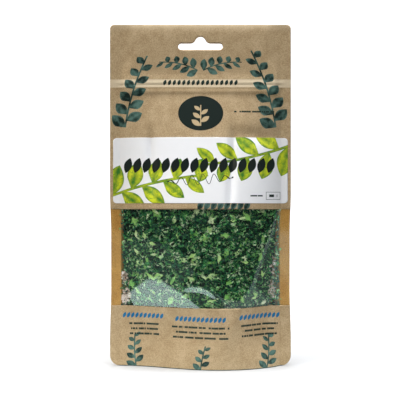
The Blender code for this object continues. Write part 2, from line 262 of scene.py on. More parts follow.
@dataclass(frozen=True)
class PouchForm:
    """The pouch's shape, with sizes in millimetres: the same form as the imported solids, smoother."""

    width: float = 130.0
    height: float = 245.0
    side_seal: float = 7.2
    waist: float = 0.8  # how far the sides draw in
    waist_reach: Reach = (15, 55, 95, 125)
    base_corner: float = 7.5
    top_corner: float = 3.0
    base_half: float = 57.0  # half the width of the folded base
    base_rise: float = 21.0  # how far its fold climbs from its middle to its ends
    base_curve: float = 2.2
    window: Pair = (43.4, 112.4)
    label: Pair = (116.6, 163.5)
    label_width: float = 125.6
    label_corner: float = 2.6
    front_stations: tuple[Pair, ...] = (
        (0, 20.5), (18, 22.4), (43, 22.8), (80, 20.6), (112, 16.4), (140, 11.6), *CLOSING,
    )
    back_stations: tuple[Pair, ...] = (
        (0, 20.9), (20, 23.1), (45, 23.5), (80, 21.2), (112, 16.8), (140, 11.8), *CLOSING,
    )
    roundness: float = 2.8  # the power of the belly's cross-section
    slump: Pair = (20.0, 100.0)  # heights between which the front's leaning foot evens out
    slump_shift: float = 0.2  # how far right of the middle the foot stands out most
    slump_roundness: float = 2.4
    zip_stations: tuple[Pair, ...] = (
        (0, 0), (186, 0), (188, 0), (189.5, 0), (190.5, 0.08), (191.5, 0.17), (193, 0.43), (194, 0.68),
        (194.8, 0.94), (195.6, 1.23), (196.4, 1.48), (197.2, 1.62), (198, 1.64), (198.8, 1.59), (200, 1.55),
        (203, 1.6), (206.5, 1.58), (208.6, 1.33), (211, 1.2), (214, 1.17), (219, 1.15), (226, 1.06),
        (232, 0.95), (238, 0.79), (241, 0.62), (243.3, 0.36), (245, 0.04),
    )
    zip_tracks: Pair = (200.0, 203.05)
    zip_hem: float = 195.0
    zip_top: float = 208.6
    zip_end: Pair = (5.2, 14.2)  # the width over which the sheets close past the zip's ends, and the header's
    zip_rise: float = 14.0  # the height over which the first width grows to the second
    track_ridge: float = 0.24
    track_width: float = 1.25
    track_run: float = 4.0  # how far the tracks run into the seals
    buckle_hold: float = 6.0  # the power with which the welds hold the buckles flat
    weld_ease: float = 0.08  # the share of the half width over which the layers part beside a weld
    layers_part: Pair = (197.0, 209.0)  # heights between which the layers close up
    buckles: tuple[Buckle, ...] = ()
    facets: tuple[Facet, ...] = ()

    @property
    def bulge_half(self) -> float:
        """Half the width between the side seals."""
        return self.width / 2 - self.side_seal

    def through(self, stations: tuple[Pair, ...], z: np.ndarray) -> np.ndarray:
        """Depths on a smooth curve through (height, depth) stations.

        Args:
            stations: The heights and depths.
            z: The heights to read.

        Returns:
            One depth for each height.
        """
        heights, depths = (np.array(values, float) for values in zip(*stations))
        slopes = np.gradient(depths, heights)
        i = np.clip(np.searchsorted(heights, z) - 1, 0, len(heights) - 2)
        step = heights[i + 1] - heights[i]
        t = (z - heights[i]) / step
        return (
            depths[i] * (1 + 2 * t) * (1 - t) ** 2
            + depths[i + 1] * t * t * (3 - 2 * t)
            + slopes[i] * step * t * (1 - t) ** 2
            - slopes[i + 1] * step * t * t * (1 - t)
        )

    def straight_half_width(self, z: np.ndarray) -> np.ndarray:
        """Half the width at each height, with the waist but with square corners."""
        return self.width / 2 - self.waist * rise_and_fall(z, self.waist_reach)

    def base_climb(self, x: np.ndarray) -> np.ndarray:
        """How far the fold of the base has climbed at each place across."""
        return self.base_rise * (abs(x) / self.base_half) ** self.base_curve

    def half_width(self, z: np.ndarray) -> np.ndarray:
        """Measures half the width, with the waist and the rounded corners.

        Args:
            z: Heights, in millimetres.

        Returns:
            One half width for each height.
        """
        low, top = self.base_corner, self.top_corner
        under = np.clip(low - z, 0, low)
        over = np.clip(z - (self.height - top), 0, top)
        half = self.straight_half_width(z)
        return half - (low - np.sqrt(low**2 - under**2)) - (top - np.sqrt(top**2 - over**2))

    def zip_swell(self, x: np.ndarray, z: np.ndarray) -> np.ndarray:
        """Measures how far the zip holds each sheet off the middle plane.

        Args:
            x: Places across, in millimetres.
            z: Heights, in millimetres.

        Returns:
            The distances, in millimetres.
        """
        near, far = self.zip_end
        run = near + (far - near) * smooth_step((z - self.zip_top) / self.zip_rise)
        across = smooth_step((self.bulge_half - abs(x)) / run)
        lines = sum(np.exp(-(((z - track) / self.track_width) ** 2)) for track in self.zip_tracks)
        tracks = self.track_ridge * lines * self.in_seals(x)
        return across * self.through(self.zip_stations, z) + tracks

    def across(self, x: np.ndarray, z: np.ndarray) -> np.ndarray:
        """Where each point lies between the side seals, from -1 to 1."""
        return np.clip(x / (self.straight_half_width(z) - self.side_seal), -1, 1)

    def in_seals(self, x: np.ndarray) -> np.ndarray:
        """1 between the side seals, falling to 0 where the tracks end."""
        return smooth_step((self.bulge_half + self.track_run - abs(x)) / self.track_run)

    def belly(self, x: np.ndarray, z: np.ndarray) -> np.ndarray:
        """Measures how far the front would stand out if it had no flats or buckles.

        Args:
            x: Places across, in millimetres.
            z: Heights, in millimetres.

        Returns:
            The depths, in millimetres.
        """
        q = self.across(x, z)
        even = 1 - abs(q) ** self.roundness
        shift = self.slump_shift
        right = 1 - (np.clip(q - shift, 0, None) / (1 - shift)) ** self.slump_roundness
        left = (1 + np.cos(np.pi * np.clip(shift - q, 0, None) / (1 + shift))) / 2
        leaning = np.where(q >= shift, right, left)
        share = smooth_step((z - self.slump[0]) / (self.slump[1] - self.slump[0]))
        return self.through(self.front_stations, z) * (share * even + (1 - share) * leaning)

    def faceted(self, x: np.ndarray, z: np.ndarray, count: int) -> np.ndarray:
        """Measures how far the front stands out with its first flats, each hung on the flats before it.

        Args:
            x: Places across, in millimetres.
            z: Heights, in millimetres.
            count: How many flats it has.

        Returns:
            The depths, in millimetres.
        """
        depth = self.belly(x, z)
        for k, facet in enumerate(self.facets[:count]):
            points = np.array([facet.start, facet.end])
            ends = self.faceted(points[:, 0], points[:, 1], k)
            depth = facet.cut(x, z, depth, (ends[0], ends[1]))
        return depth

    def front_depth(self, x: np.ndarray, z: np.ndarray) -> np.ndarray:
        """Measures how far the front's reference surface stands in front of the middle plane.

        Args:
            x: Places across, in millimetres.
            z: Heights, in millimetres.

        Returns:
            The depths, in millimetres.
        """
        depth = self.faceted(x, z, len(self.facets))
        lifts = sum((buckle.lift(x, z) for buckle in self.buckles), np.zeros_like(x))
        free = 1 - abs(self.across(x, z)) ** self.buckle_hold
        return depth + self.zip_swell(x, z) + lifts * free

    def back_depth(self, x: np.ndarray, z: np.ndarray) -> np.ndarray:
        """How far the back's reference surface stands behind the middle plane."""
        even = 1 - abs(self.across(x, z)) ** self.roundness
        return self.through(self.back_stations, z) * even + self.zip_swell(x, z)

    def layer(self, x: np.ndarray, z: np.ndarray, offsets: Pair, side: int) -> np.ndarray:
        """Points on a layer of the front or the back.

        Args:
            x: Places across, in millimetres.
            z: Heights, in millimetres.
            offsets: The layer's distance outwards from the reference surface, in the welded edges
                and header and then over the belly.
            side: -1 for the front, 1 for the back.

        Returns:
            An array of points in metres, one row each.
        """
        depth = self.front_depth if side < 0 else self.back_depth
        probe = 0.25  # how far to each side the slope is measured
        low, high = np.maximum(z - probe, 0), np.minimum(z + probe, self.height)
        slope_x = (depth(x + probe, z) - depth(x - probe, z)) / (2 * probe)
        slope_z = (depth(x, high) - depth(x, low)) / (high - low)
        size = np.sqrt(1 + slope_x**2 + slope_z**2)
        closing, closed = self.layers_part
        loose = smooth_step((closed - z) / (closed - closing))
        loose = loose * smooth_step((1 - abs(self.across(x, z))) / self.weld_ease)
        offset = offsets[0] + (offsets[1] - offsets[0]) * loose
        points = np.column_stack(
            (
                x - offset * slope_x / size,
                side * (depth(x, z) + offset / size),
                np.where((z <= 0) | (z >= self.height), z, z - offset * slope_z / size),
            )
        )
        return points * MM


FORM = PouchForm(
    facets=(
        Facet((-40.1, 62.6), (-16.8, 55.2), 0.25, (4, 40, 90, 110), 0.4),
        Facet((-42.7, 61.0), (-50.6, 44.2), 0.12, (4, 40, 70, 95), 0.3),
        Facet((49.7, 96.5), (36.6, 57.3), 0.03, (4, 40, 96, 116), 0.5),
        Facet((36.6, 57.3), (28.6, 44.9), 0.28, (4, 40, 90, 110), 0.6),
        Facet((52.5, 95.9), (41.2, 54.0), 0.1, (4, 40, 96, 116), 0.4),
    ),
    buckles=(
        Buckle(-35, 145, 91, 44, 2.8, -2.3),
        Buckle(22, 138, 87, 56, 3.0, -2.6),
        Buckle(48, 163.8, -3, 50, 6.0, -1.5),
        Buckle(-20, 190, 84, 30, 3.2, 0.35),
        Buckle(26, 187, 96, 26, 2.6, -0.35),
        Buckle(-46, 187, 70, 26, 2.4, -0.3),
        Buckle(-51.5, 82, -72, 26, 1.2, 0.5),
        Buckle(2.4, 58.2, -18, 24, 3.2, 1.5, -3.4),
    ),
)


class Layer(Enum):
    """The layers of the laminate: distance from the reference surface in the welds and the belly."""

    FILM = (0.05, 0.52)
    PAPER = (0.16, 0.66)
    LABEL = (0.35, 0.86)
    BACK = (0.05, 0.32)


def finish_mesh(name: str, bm: bmesh.types.BMesh, materials: list[Material], smooth: bool = True) -> Object:
    """Makes an object of a bmesh, with its materials.

    Args:
        name: The piece's name.
        bm: The mesh, which is freed.
        materials: The materials in slot order.
        smooth: Whether the faces are shaded as one smooth surface.

    Returns:
        The new object, linked to the scene.
    """
    mesh = bpy.data.meshes.new(name)
    bm.to_mesh(mesh)
    bm.free()
    for material in materials:
        mesh.materials.append(material)
    if smooth:
        mesh.shade_smooth()
    piece = bpy.data.objects.new(name, mesh)
    bpy.context.scene.collection.objects.link(piece)
    return piece


def thicken(piece: Object, thickness: float, offset: float, lined: bool = False) -> None:
    """Gives an open sheet its thickness.

    Args:
        piece: The open sheet.
        thickness: In millimetres.
        offset: 1 for outwards, -1 for inwards and 0 for both ways.
        lined: Whether its inner side has the second material.
    """
    solid = piece.modifiers.new("sheet thickness", "SOLIDIFY")
    solid.thickness = thickness * MM
    solid.offset = offset
    solid.material_offset = int(lined)


def dress(piece: Object, nodes: list[str], slot: str) -> None:
    """Sets a piece on the frame.

    Args:
        piece: The finished piece.
        nodes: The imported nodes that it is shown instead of.
        slot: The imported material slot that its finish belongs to.
    """
    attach(piece, BODY)
    if nodes:
        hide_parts(*nodes)
    log.info("%s: %d nodes, %s", piece.name, len(nodes), slot)


CLOSE_REACH = 3.0  # how far the shorter steps reach, in millimetres


def stations(low: float, high: float, step: float, close: tuple[float, ...] = ()) -> np.ndarray:
    """Places from low to high about a step apart, and four times closer round some of them.

    Args:
        low: The first place.
        high: The last place.
        step: The usual distance.
        close: Places that have the shorter steps round them.

    Returns:
        The places in order.
    """
    places = [low]
    while places[-1] < high:
        fine = any(abs(places[-1] - place) < CLOSE_REACH for place in close)
        places.append(places[-1] + (step / 4 if fine else step))
    places[-1] = high
    if places[-1] - places[-2] < step / 10:
        del places[-2]
    return np.array(places)


def placed_grid(
    columns: np.ndarray, rows: np.ndarray, place: Callable[[np.ndarray, np.ndarray], np.ndarray]
) -> bmesh.types.BMesh:
    """A grid whose points are put in place by a function of column and row values.

    Args:
        columns: The value of each column.
        rows: The value of each row.
        place: Takes the column and row values of all the points, and returns their places.

    Returns:
        The placed grid.
    """
    bm = bmesh.new()
    bmesh.ops.create_grid(bm, x_segments=len(columns) - 1, y_segments=len(rows) - 1, size=1)
    flat = np.array([vertex.co[:2] for vertex in bm.verts])
    i = np.rint((flat[:, 0] + 1) / 2 * (len(columns) - 1)).astype(int)
    j = np.rint((flat[:, 1] + 1) / 2 * (len(rows) - 1)).astype(int)
    for vertex, point in zip(bm.verts, place(columns[i], rows[j])):
        vertex.co = point
    return bm


@dataclass
class Laminate:
    """The sheets of the pouch and the tools that shape them."""

    form: PouchForm
    printed: Material
    plain: Material
    lining: Material
    clear: Material
    white: Material
    step: float = 1.1  # between a sheet's columns or rows
    label_step: float = 0.8
    paper_thickness: float = 0.16
    film_thickness: float = 0.08
    back_thickness: float = 0.2
    label_thickness: float = 0.1
    cutter: Object | None = None

    def sheet(
        self,
        name: str,
        low: float,
        high: float,
        layer: Layer,
        side: int,
        thickness: float,
        materials: list[Material],
    ) -> Object:
        """Builds a sheet as wide as the pouch.

        Args:
            name: The piece's name.
            low: The height of its lower edge, in millimetres.
            high: The height of its upper edge.
            layer: Where it lies in the laminate.
            side: -1 for the front, 1 for the back.
            thickness: In millimetres.
            materials: Its outer finish and, if it differs, its inner one.

        Returns:
            The sheet as a closed piece.
        """
        half = self.form.width / 2
        columns = stations(-half, half, self.step, (-self.form.bulge_half, self.form.bulge_half))
        rows = stations(low, high, self.step, (0, self.form.zip_hem, *self.form.zip_tracks, self.form.height))

        def place(x: np.ndarray, z: np.ndarray) -> np.ndarray:
            """Places the sheet's points."""
            return self.form.layer(x * self.form.half_width(z) / half, z, layer.value, side)

        bm = placed_grid(columns, rows, place)
        if side > 0:
            bmesh.ops.reverse_faces(bm, faces=bm.faces)
        piece = finish_mesh(name, bm, materials)
        thicken(piece, thickness, 1, len(materials) > 1)
        if high == self.form.height:
            cut = piece.modifiers.new("hang slot", "BOOLEAN")
            cut.operation = "DIFFERENCE"
            cut.object = self.cutter
        return piece

    def make_slot_cutter(self) -> None:
        """Makes the prism that cuts the hang slot: a round-ended bar with a bump on its upper side."""
        deep = 4.0 * MM
        bar_half, bar_end, middle = 13.7, 2.4, 229.2
        bump, fillet, rise = 4.0, 4.0, 0.8
        bar_top = middle + bar_end
        reach = bump + fillet
        fillet_x = math.sqrt(reach**2 - (fillet - rise) ** 2)
        lean = math.degrees(math.atan2(fillet - rise, fillet_x))
        outline = self.arc(bar_half, middle, bar_end, -90, 90, 16)
        outline += self.arc(fillet_x, bar_top + fillet, fillet, 270, 180 + lean, 8)
        outline += self.arc(0, bar_top + rise, bump, lean, 180 - lean, 20)[1:-1]
        outline += self.arc(-fillet_x, bar_top + fillet, fillet, 360 - lean, 270, 8)
        outline += self.arc(-bar_half, middle, bar_end, 90, 270, 16)
        bm = bmesh.new()
        corners = [bm.verts.new((x * MM, -deep, z * MM)) for x, z in outline]
        face = bm.faces.new(corners)
        made = bmesh.ops.extrude_face_region(bm, geom=[face])["geom"]
        moved = [part for part in made if isinstance(part, bmesh.types.BMVert)]
        bmesh.ops.translate(bm, verts=moved, vec=(0, 2 * deep, 0))
        bmesh.ops.recalc_face_normals(bm, faces=bm.faces)
        self.cutter = finish_mesh("hang_slot_cutter", bm, [])
        self.cutter.hide_render = True

    @staticmethod
    def arc(x: float, z: float, radius: float, start: float, end: float, steps: int) -> list[Pair]:
        """Points on an arc, with angles in degrees and both ends included."""
        turns = [cos_sin(start + (end - start) * k / steps) for k in range(steps + 1)]
        return [(x + radius * c, z + radius * s) for c, s in turns]

    def drop_cutter(self, pieces: list[Object]) -> None:
        """Applies the pieces' modifiers, so that the cutter can go.

        Args:
            pieces: The sheets that it cuts.
        """
        bpy.context.view_layer.update()
        graph = bpy.context.evaluated_depsgraph_get()
        for piece in pieces:
            mesh = bpy.data.meshes.new_from_object(piece.evaluated_get(graph))
            piece.modifiers.clear()
            piece.data = mesh
        bpy.data.objects.remove(self.cutter)

    def label_sheet(self) -> Object:
        """Builds the label, with its rounded corners.

        Returns:
            The label as a closed piece.
        """
        form = self.form
        low, high = form.label
        half, corner = form.label_width / 2, form.label_corner
        columns = stations(-half, half, self.label_step)
        rows = stations(low, high, self.label_step, (low, high))

        def place(x: np.ndarray, z: np.ndarray) -> np.ndarray:
            """Places the label's points.

            Args:
                x: Their columns.
                z: Their heights.

            Returns:
                One row for each point, in metres.
            """
            inside = np.clip(corner - np.minimum(z - low, high - z), 0, corner)
            edge = half - corner + np.sqrt(corner**2 - inside**2)
            return form.layer(x * edge / half, z, Layer.LABEL.value, -1)

        piece = finish_mesh("label_sticker", placed_grid(columns, rows, place), [self.white])
        thicken(piece, self.label_thickness, 1)
        return piece

    def gusset(self) -> Object:
        """Builds the folded base: a flange up the inside of each sheet and a domed web between.

        Returns:
            The base as a closed piece.
        """
        form = self.form
        half, foot, low = form.base_half, 0.3, 5.0
        dome, droop = 4.0, 0.6  # height of the web's middle, and the share of it lost by the ends
        flange = 0.3  # the share of the rows that climbs each sheet
        inner = (-0.05, -0.05)  # just inside the sheets
        columns = stations(-half, half, 1.4)
        rows = np.linspace(-1, 1, 57)

        def place(x: np.ndarray, t: np.ndarray) -> np.ndarray:
            """Places the base's points.

            Args:
                x: Places across.
                t: From -1 at the front edge to 1 at the back edge.

            Returns:
                One row for each point, in metres.
            """
            crest = low + form.base_climb(x)
            in_web = abs(t) < 1 - flange
            web = np.clip(t / (1 - flange), -1, 1)
            up = (1 - abs(t)) / flange
            z = np.where(in_web, crest, foot + (crest - foot) * np.clip(up, 0, 1))
            z_web = crest + dome * (1 - droop * (x / half) ** 2) * (1 - web**2)
            share = ((web + 1) / 2)[:, None]
            points = form.layer(x, z, inner, -1) * (1 - share) + form.layer(x, z, inner, 1) * share
            points[:, 0] = x * MM
            points[:, 2] = np.where(in_web, z_web, z) * MM
            return points

        piece = finish_mesh("bottom_gusset_fold", placed_grid(columns, rows, place), [self.plain])
        thicken(piece, self.back_thickness, -1)
        return piece

    def build(self) -> None:
        """Builds and dresses the sheets."""
        self.make_slot_cutter()
        top = self.form.height
        low, high = self.form.window
        paper, film = self.paper_thickness, self.film_thickness
        back = self.sheet("back_sheet", 0, top, Layer.BACK, 1, self.back_thickness, [self.plain, self.lining])
        window = self.sheet("window_film", 0, top, Layer.FILM, -1, film, [self.clear])
        upper = self.sheet("upper_kraft", high, top, Layer.PAPER, -1, paper, [self.printed])
        lower = self.sheet("lower_kraft", 0, low, Layer.PAPER, -1, paper, [self.printed])
        self.drop_cutter([back, window, upper])
        dress(back, ["back_panel"], "lined_kraft")
        dress(window, ["front_film"], "clear_film")
        dress(upper, ["upper_kraft_panel"], "kraft_paper")
        dress(lower, ["lower_kraft_panel"], "kraft_paper")
        dress(self.label_sheet(), ["label"], "label_paper")
        dress(self.gusset(), ["bottom_gusset"], "kraft_paper")


@dataclass(frozen=True)
class FlakeKind:
    """One size class of flakes, with sizes in millimetres."""

    name: str
    count: int
    radius: Pair
    cells: tuple[int, int]  # faces along and across a flake
    depth: float  # how far behind the film they lie at most
    flat: float  # 0 is any direction, 1 is flat against the film
    curl: float  # turn of a flake from edge to edge, in degrees
    slim: Pair  # width of a flake as a share of its length
    blunt: float  # how far its corners are rounded off, from 0 to 1
    seed: int


@dataclass(frozen=True)
class Drift:
    """A place at the foot of a side weld where near-white scraps gather, in millimetres."""

    centre: Pair
    radii: Pair
    count: int
    spread: float = 0.6  # 0.5 is even, and more is closer together

    def places(self, chance: random.Random) -> list[Pair]:
        """Picks places for the scraps, closer together towards the middle.

        Args:
            chance: The source of its accidents.

        Returns:
            Places across and heights, in millimetres.
        """
        middle, radii = np.array(self.centre), np.array(self.radii)
        found = []
        for _ in range(self.count):
            turn, far = chance.uniform(0, math.tau), chance.random() ** self.spread
            found.append(tuple(middle + radii * far * np.array((math.cos(turn), math.sin(turn)))))
        return found


@dataclass
class Flakes:
    """The dried, curled scraps of frond that fill the pouch, and the mass behind them, whose dark colour is
    painted shade.
    """

    form: PouchForm
    # dark: the bed's finish, frond colours darkened as painted shade
    dark: Material
    mixed: Material
    # bright: the frond's own mix of greens, painted lighter as if lit near the film
    bright: Material
    pale: Material
    whitish: Material
    thickness: float = 0.1
    shapes: int = 36
    margin: float = 2.5  # hidden flakes past the window's edges, in millimetres
    skin: Pair = (0.0, 0.3)  # the inner face of the film, out from the reference surface
    side_reach: float = 1.2  # how far beside a flake its room from front to back is measured
    least_room: float = 0.85  # flakes don't fall where the pouch is flatter than this
    film_gap: float = 0.15  # between a flake's middle and the sheet that it lies against
    film_clear: float = 0.25  # between the film and the nearest point of a flake, where it is laid
    probe: float = 0.5  # how far off the film's direction is measured
    gap_kept: float = 0.5  # of the room from front to back, left free of a flake
    room_kept: float = 1.0  # of the room in front of the middle, left free
    least_depth: float = 0.05  # how thin a curled flake may be pressed
    crowding: float = 1.3  # 1 is even in depth, and more is closer to the film
    usual_lean: float = 0.7  # of a flake that may lie any way, as a share of a right angle
    crumbs: FlakeKind = FlakeKind("crumb_flakes", 8000, (0.5, 1.05), (2, 1), 2.0, 0.0, 80, (0.2, 0.7), 0.3, 5)
    curled: FlakeKind = FlakeKind(
        "curled_flakes", 5000, (0.8, 1.75), (2, 2), 2.4, 0.15, 110, (0.2, 0.62), 0.4, 6
    )
    shards: FlakeKind = FlakeKind("shard_flakes", 2000, (0.95, 2.0), (3, 3), 1.3, 0.3, 90, (0.2, 0.7), 0.5, 8)
    broad: FlakeKind = FlakeKind("broad_flakes", 70, (1.6, 2.7), (3, 3), 0.2, 0.85, 40, (0.6, 1.0), 0.4, 7)
    whitish_kind: FlakeKind = FlakeKind("whitish_flakes", 0, (0.5, 1.15), (2, 2), 0.3, 0.6, 70, (0.5, 1.0), 0.4, 9)
    drifts: tuple[Drift, ...] = (
        Drift((-53.4, 49.5), (2.9, 6.4), 110),
        Drift((-54.2, 62.0), (3.0, 6.0), 30),
        Drift((51.2, 55.5), (2.2, 7.0), 46),
        Drift((52.0, 74.0), (2.4, 12.0), 16),
    )

    def shape(self, kind: FlakeKind, chance: random.Random) -> bpy.types.Mesh:
        """One torn and curled flake of unit radius, lying in the XZ plane.

        Args:
            kind: Its size class.
            chance: The source of its accidents.

        Returns:
            Its open mesh.
        """
        bm = bmesh.new()
        bmesh.ops.create_grid(bm, x_segments=kind.cells[0], y_segments=kind.cells[1], size=1)
        tear, tear_scale, crumple, crumple_scale, least_curl = 0.8, 1.7, 0.14, 2.2, 0.05
        seed = Vector((chance.uniform(0, 90), chance.uniform(0, 90), 0))
        narrow, curl = chance.uniform(*kind.slim), math.radians(kind.curl) * chance.uniform(0.1, 1.0)
        twist, skew = chance.uniform(-0.8, 0.8), chance.uniform(-0.6, 0.6)
        blunt = kind.blunt * chance.random()
        for vertex in bm.verts:
            x, y = vertex.co.x, vertex.co.y
            square = max(abs(x), abs(y))
            corner = square / max(math.hypot(x, y), 1e-6) * blunt + 1 - blunt
            torn = 1 + tear * noise.noise(seed + Vector((x, y, 0)) * tear_scale)
            x, y = x * corner * torn + skew * y, y * corner * torn * narrow
            bend = curl * (x + twist * y)
            bow = math.sin(bend / 2) ** 2 * 2 / max(curl, least_curl)
            fold_up = crumple * noise.noise(seed + Vector((x, y, 5)) * crumple_scale)
            vertex.co = (math.sin(bend) / max(curl, least_curl), bow + fold_up, y)
        mesh = bpy.data.meshes.new("flake shape")
        bm.to_mesh(mesh)
        bm.free()
        return mesh

    def turn(self, kind: FlakeKind, chance: random.Random) -> Matrix:
        """Picks a direction for a flake: any at all, or nearly flat against the film.

        Args:
            kind: Its size class.
            chance: The source of its accidents.

        Returns:
            The turn.
        """
        spin = Euler((0, chance.uniform(0, math.tau), 0)).to_matrix()
        reach = self.usual_lean * math.radians(90) * (1 - kind.flat)
        lean = Euler((chance.gauss(0, 1) * reach, 0, chance.gauss(0, 1) * reach))
        flip = Euler((math.pi * chance.randrange(2), 0, 0)).to_matrix()
        return lean.to_matrix() @ spin @ flip

    def spots(self, count: int, given: list[Pair], chance: random.Random) -> np.ndarray:
        """Places for flakes: the given ones and then any where the pouch has room for them.

        Args:
            count: How many places in all.
            given: Places across and heights to use first, in millimetres.
            chance: The source of its accidents.

        Returns:
            One row for each place.
        """
        found = list(given)
        low, high = self.form.window
        half = self.form.bulge_half
        # The heap's edge wanders by up to this much, in patches about 4 mm wide, and frays
        wander, patch, fray = 1.3, 0.28, 0.35
        while len(found) < count:
            tries = [
                (chance.uniform(-half, half), chance.uniform(low - self.margin, high + self.margin))
                for _ in range(count)
            ]
            x, z = np.array(tries).T
            for place, room in zip(tries, self.form.front_depth(x, z)):
                patchy = wander * noise.noise((place[0] * patch, place[1] * patch, 2.0))
                if room > self.least_room + patchy + chance.gauss(0, fray):
                    found.append(place)
        return np.array(found[:count])

    def scatter(self, kind: FlakeKind, given: list[Pair], material: Material) -> Object:
        """Lays one size class of flakes behind the film, joined in one piece.

        Args:
            kind: The size class.
            given: Places across and heights to use first, in millimetres.
            material: The flakes' finish.

        Returns:
            The joined piece.
        """
        chance = random.Random(kind.seed)
        shapes = [self.shape(kind, chance) for _ in range(self.shapes)]
        places = self.spots(kind.count, given, chance)
        x, z = places[:, 0], places[:, 1]
        skin = self.form.layer(x, z, self.skin, -1)
        ahead = self.form.layer(x + self.probe, z, self.skin, -1) - skin
        above = self.form.layer(x, z + self.probe, self.skin, -1) - skin
        room = self.form.front_depth(x, z)
        outer = np.sign(x) * np.minimum(abs(x) + self.side_reach, self.form.width / 2)
        gap = self.form.front_depth(outer, z) + self.form.back_depth(outer, z) - self.gap_kept
        joined = bmesh.new()
        for k, spot in enumerate(skin):
            right = Vector(ahead[k]).normalized()
            inward = right.cross(Vector(above[k])).normalized() * -1
            up = inward.cross(right) * -1
            lie = Matrix((right, inward, up)).transposed()
            mesh = chance.choice(shapes).copy()
            mesh.transform(self.turn(kind, chance).to_4x4() * chance.uniform(*kind.radius))
            depths = [vertex.co.y for vertex in mesh.vertices]
            squash = min(1.0, max(gap[k], self.least_depth) / (max(depths) - min(depths)))
            mesh.transform(Matrix.Diagonal((1, squash, 1, 1)))
            nearest = min(depths) * squash
            deeper = max(0.0, min(kind.depth * chance.random() ** self.crowding, room[k] - self.room_kept))
            shift = Matrix.Translation((0, self.film_clear + deeper - nearest, 0))
            mesh.transform(Matrix.Translation(spot) @ lie.to_4x4() @ Matrix.Scale(MM, 4) @ shift)
            joined.from_mesh(mesh)
            bpy.data.meshes.remove(mesh)
        for shape in shapes:
            bpy.data.meshes.remove(shape)
        self.keep_between(joined)
        piece = finish_mesh(kind.name, joined, [material], smooth=False)
        thicken(piece, self.thickness, 0)
        return piece

    def keep_between(self, bm: bmesh.types.BMesh) -> None:
        """Presses the flakes' points back between the two sheets, where the pouch closes at its sides.

        Args:
            bm: The joined flakes.
        """
        points = np.array([vertex.co for vertex in bm.verts]) / MM
        x, z = np.clip(points[:, 0], -self.form.width / 2, self.form.width / 2), points[:, 2]
        front = self.film_gap - self.form.front_depth(x, z)
        back = self.form.back_depth(x, z) - self.film_gap
        middle = (front + back) / 2
        depths = np.clip(points[:, 1], np.minimum(front, middle), np.maximum(back, middle))
        for vertex, depth in zip(bm.verts, depths):
            vertex.co.y = depth * MM

    def bed_ends(self, heights: np.ndarray, inmost: float) -> list[np.ndarray]:
        """Finds how far the bed reaches to the left and to the right, with ragged edges.

        Args:
            heights: The heights to look at.
            inmost: How far it reaches at least.

        Returns:
            The reach at each height, for the left and for the right.
        """
        usual, wander, wave = 1.6, 1.2, 0.22  # room that ends it, how far that varies and how often
        steps = np.linspace(inmost, self.form.bulge_half, 120)
        far, level = (grid.ravel() for grid in np.meshgrid(steps, heights))
        ends = []
        for sign in (-1, 1):
            ragged = np.array([noise.noise((wave * height, sign * 7.0, 1.0)) for height in heights])
            least = (usual + wander * ragged)[:, None]
            room = self.form.front_depth(sign * far, level).reshape(len(heights), len(steps))
            ends.append(np.where(room > least, steps, inmost).max(axis=1))
        return ends

    def bed(self) -> Object:
        """Builds the mass of flakes behind those that are made one by one, in a dark finish that is painted
        shade.

        Returns:
            The mass as one lumpy closed body.
        """
        form = self.form
        half, top, sag, foot = form.bulge_half, 150, 5, 10.5
        # Depth behind the film, the share of the room that it may take, and the lumps' depths and scales
        depth, most, lump, lump_scale, grit, grit_scale = 2.6, 0.8, 0.8, 0.45, 0.5, 1.1
        columns = np.linspace(-half, half, 120)
        rows = np.linspace(0, 1, 130)
        heights = np.linspace(0, top, 101)
        ends = self.bed_ends(heights, 30)

        def place(side: int, x: np.ndarray, t: np.ndarray) -> np.ndarray:
            """Places the points of the mass's front or back.

            Args:
                side: -1 for the front, 1 for the back.
                x: Their columns.
                t: From 0 at the foot to 1 at the top.

            Returns:
                One row for each point, in metres.
            """
            low = foot + form.base_climb(x)
            z = low + (top - sag * (x / half) ** 2 - low) * t
            reach = np.where(x < 0, np.interp(z, heights, ends[0]), np.interp(z, heights, ends[1]))
            x = x * reach / half
            uneven = depth
            for size, scale, seed in ((lump, lump_scale, 9), (grit, grit_scale, 4)):
                field = [noise.noise((a * scale, b * scale, side * seed)) for a, b in zip(x, z)]
                uneven = uneven + size * np.array(field)
            room = (form.front_depth(x, z) if side < 0 else form.back_depth(x, z)) * most
            points = form.layer(x, z, (0.0, 0.0), side)
            points[:, 1] -= side * np.minimum(uneven, room) * MM
            return points

        bm = placed_grid(columns, rows, partial(place, -1))
        back = placed_grid(columns, rows, partial(place, 1))
        mesh = bpy.data.meshes.new("bed back")
        back.to_mesh(mesh)
        back.free()
        bm.from_mesh(mesh)
        bpy.data.meshes.remove(mesh)
        rims = [edge for edge in bm.edges if edge.is_boundary]
        bmesh.ops.bridge_loops(bm, edges=rims)
        bmesh.ops.recalc_face_normals(bm, faces=bm.faces)
        return finish_mesh("flake_bed", bm, [self.dark])

    def build(self, frame: dict[str, Any]) -> None:
        """Builds and dresses all the flakes.

        Args:
            frame: The loaded frame.
        """
        leaf_nodes = sorted(name for name in frame["nodes"] if name.startswith("leaf_flake_"))
        middles = [sum(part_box(name), Vector()) / (2 * MM) for name in leaf_nodes]
        dress(self.bed(), ["flake_heap"], "dried_frond")
        # The shards lie nearest the film and take the frond painted lighter, as if lit there
        small = ((self.crumbs, self.mixed), (self.curled, self.mixed), (self.shards, self.bright))
        for kind, material in small:
            dress(self.scatter(kind, [], material), [], "dried_frond")
        broad = self.scatter(self.broad, [(middle.x, middle.z) for middle in middles], self.pale)
        dress(broad, leaf_nodes, "pale_frond")
        chance = random.Random(self.whitish_kind.seed)
        drifted = [place for drift in self.drifts for place in drift.places(chance)]
        dress(self.scatter(replace(self.whitish_kind, count=len(drifted)), drifted, self.whitish), [], "pale_frond")


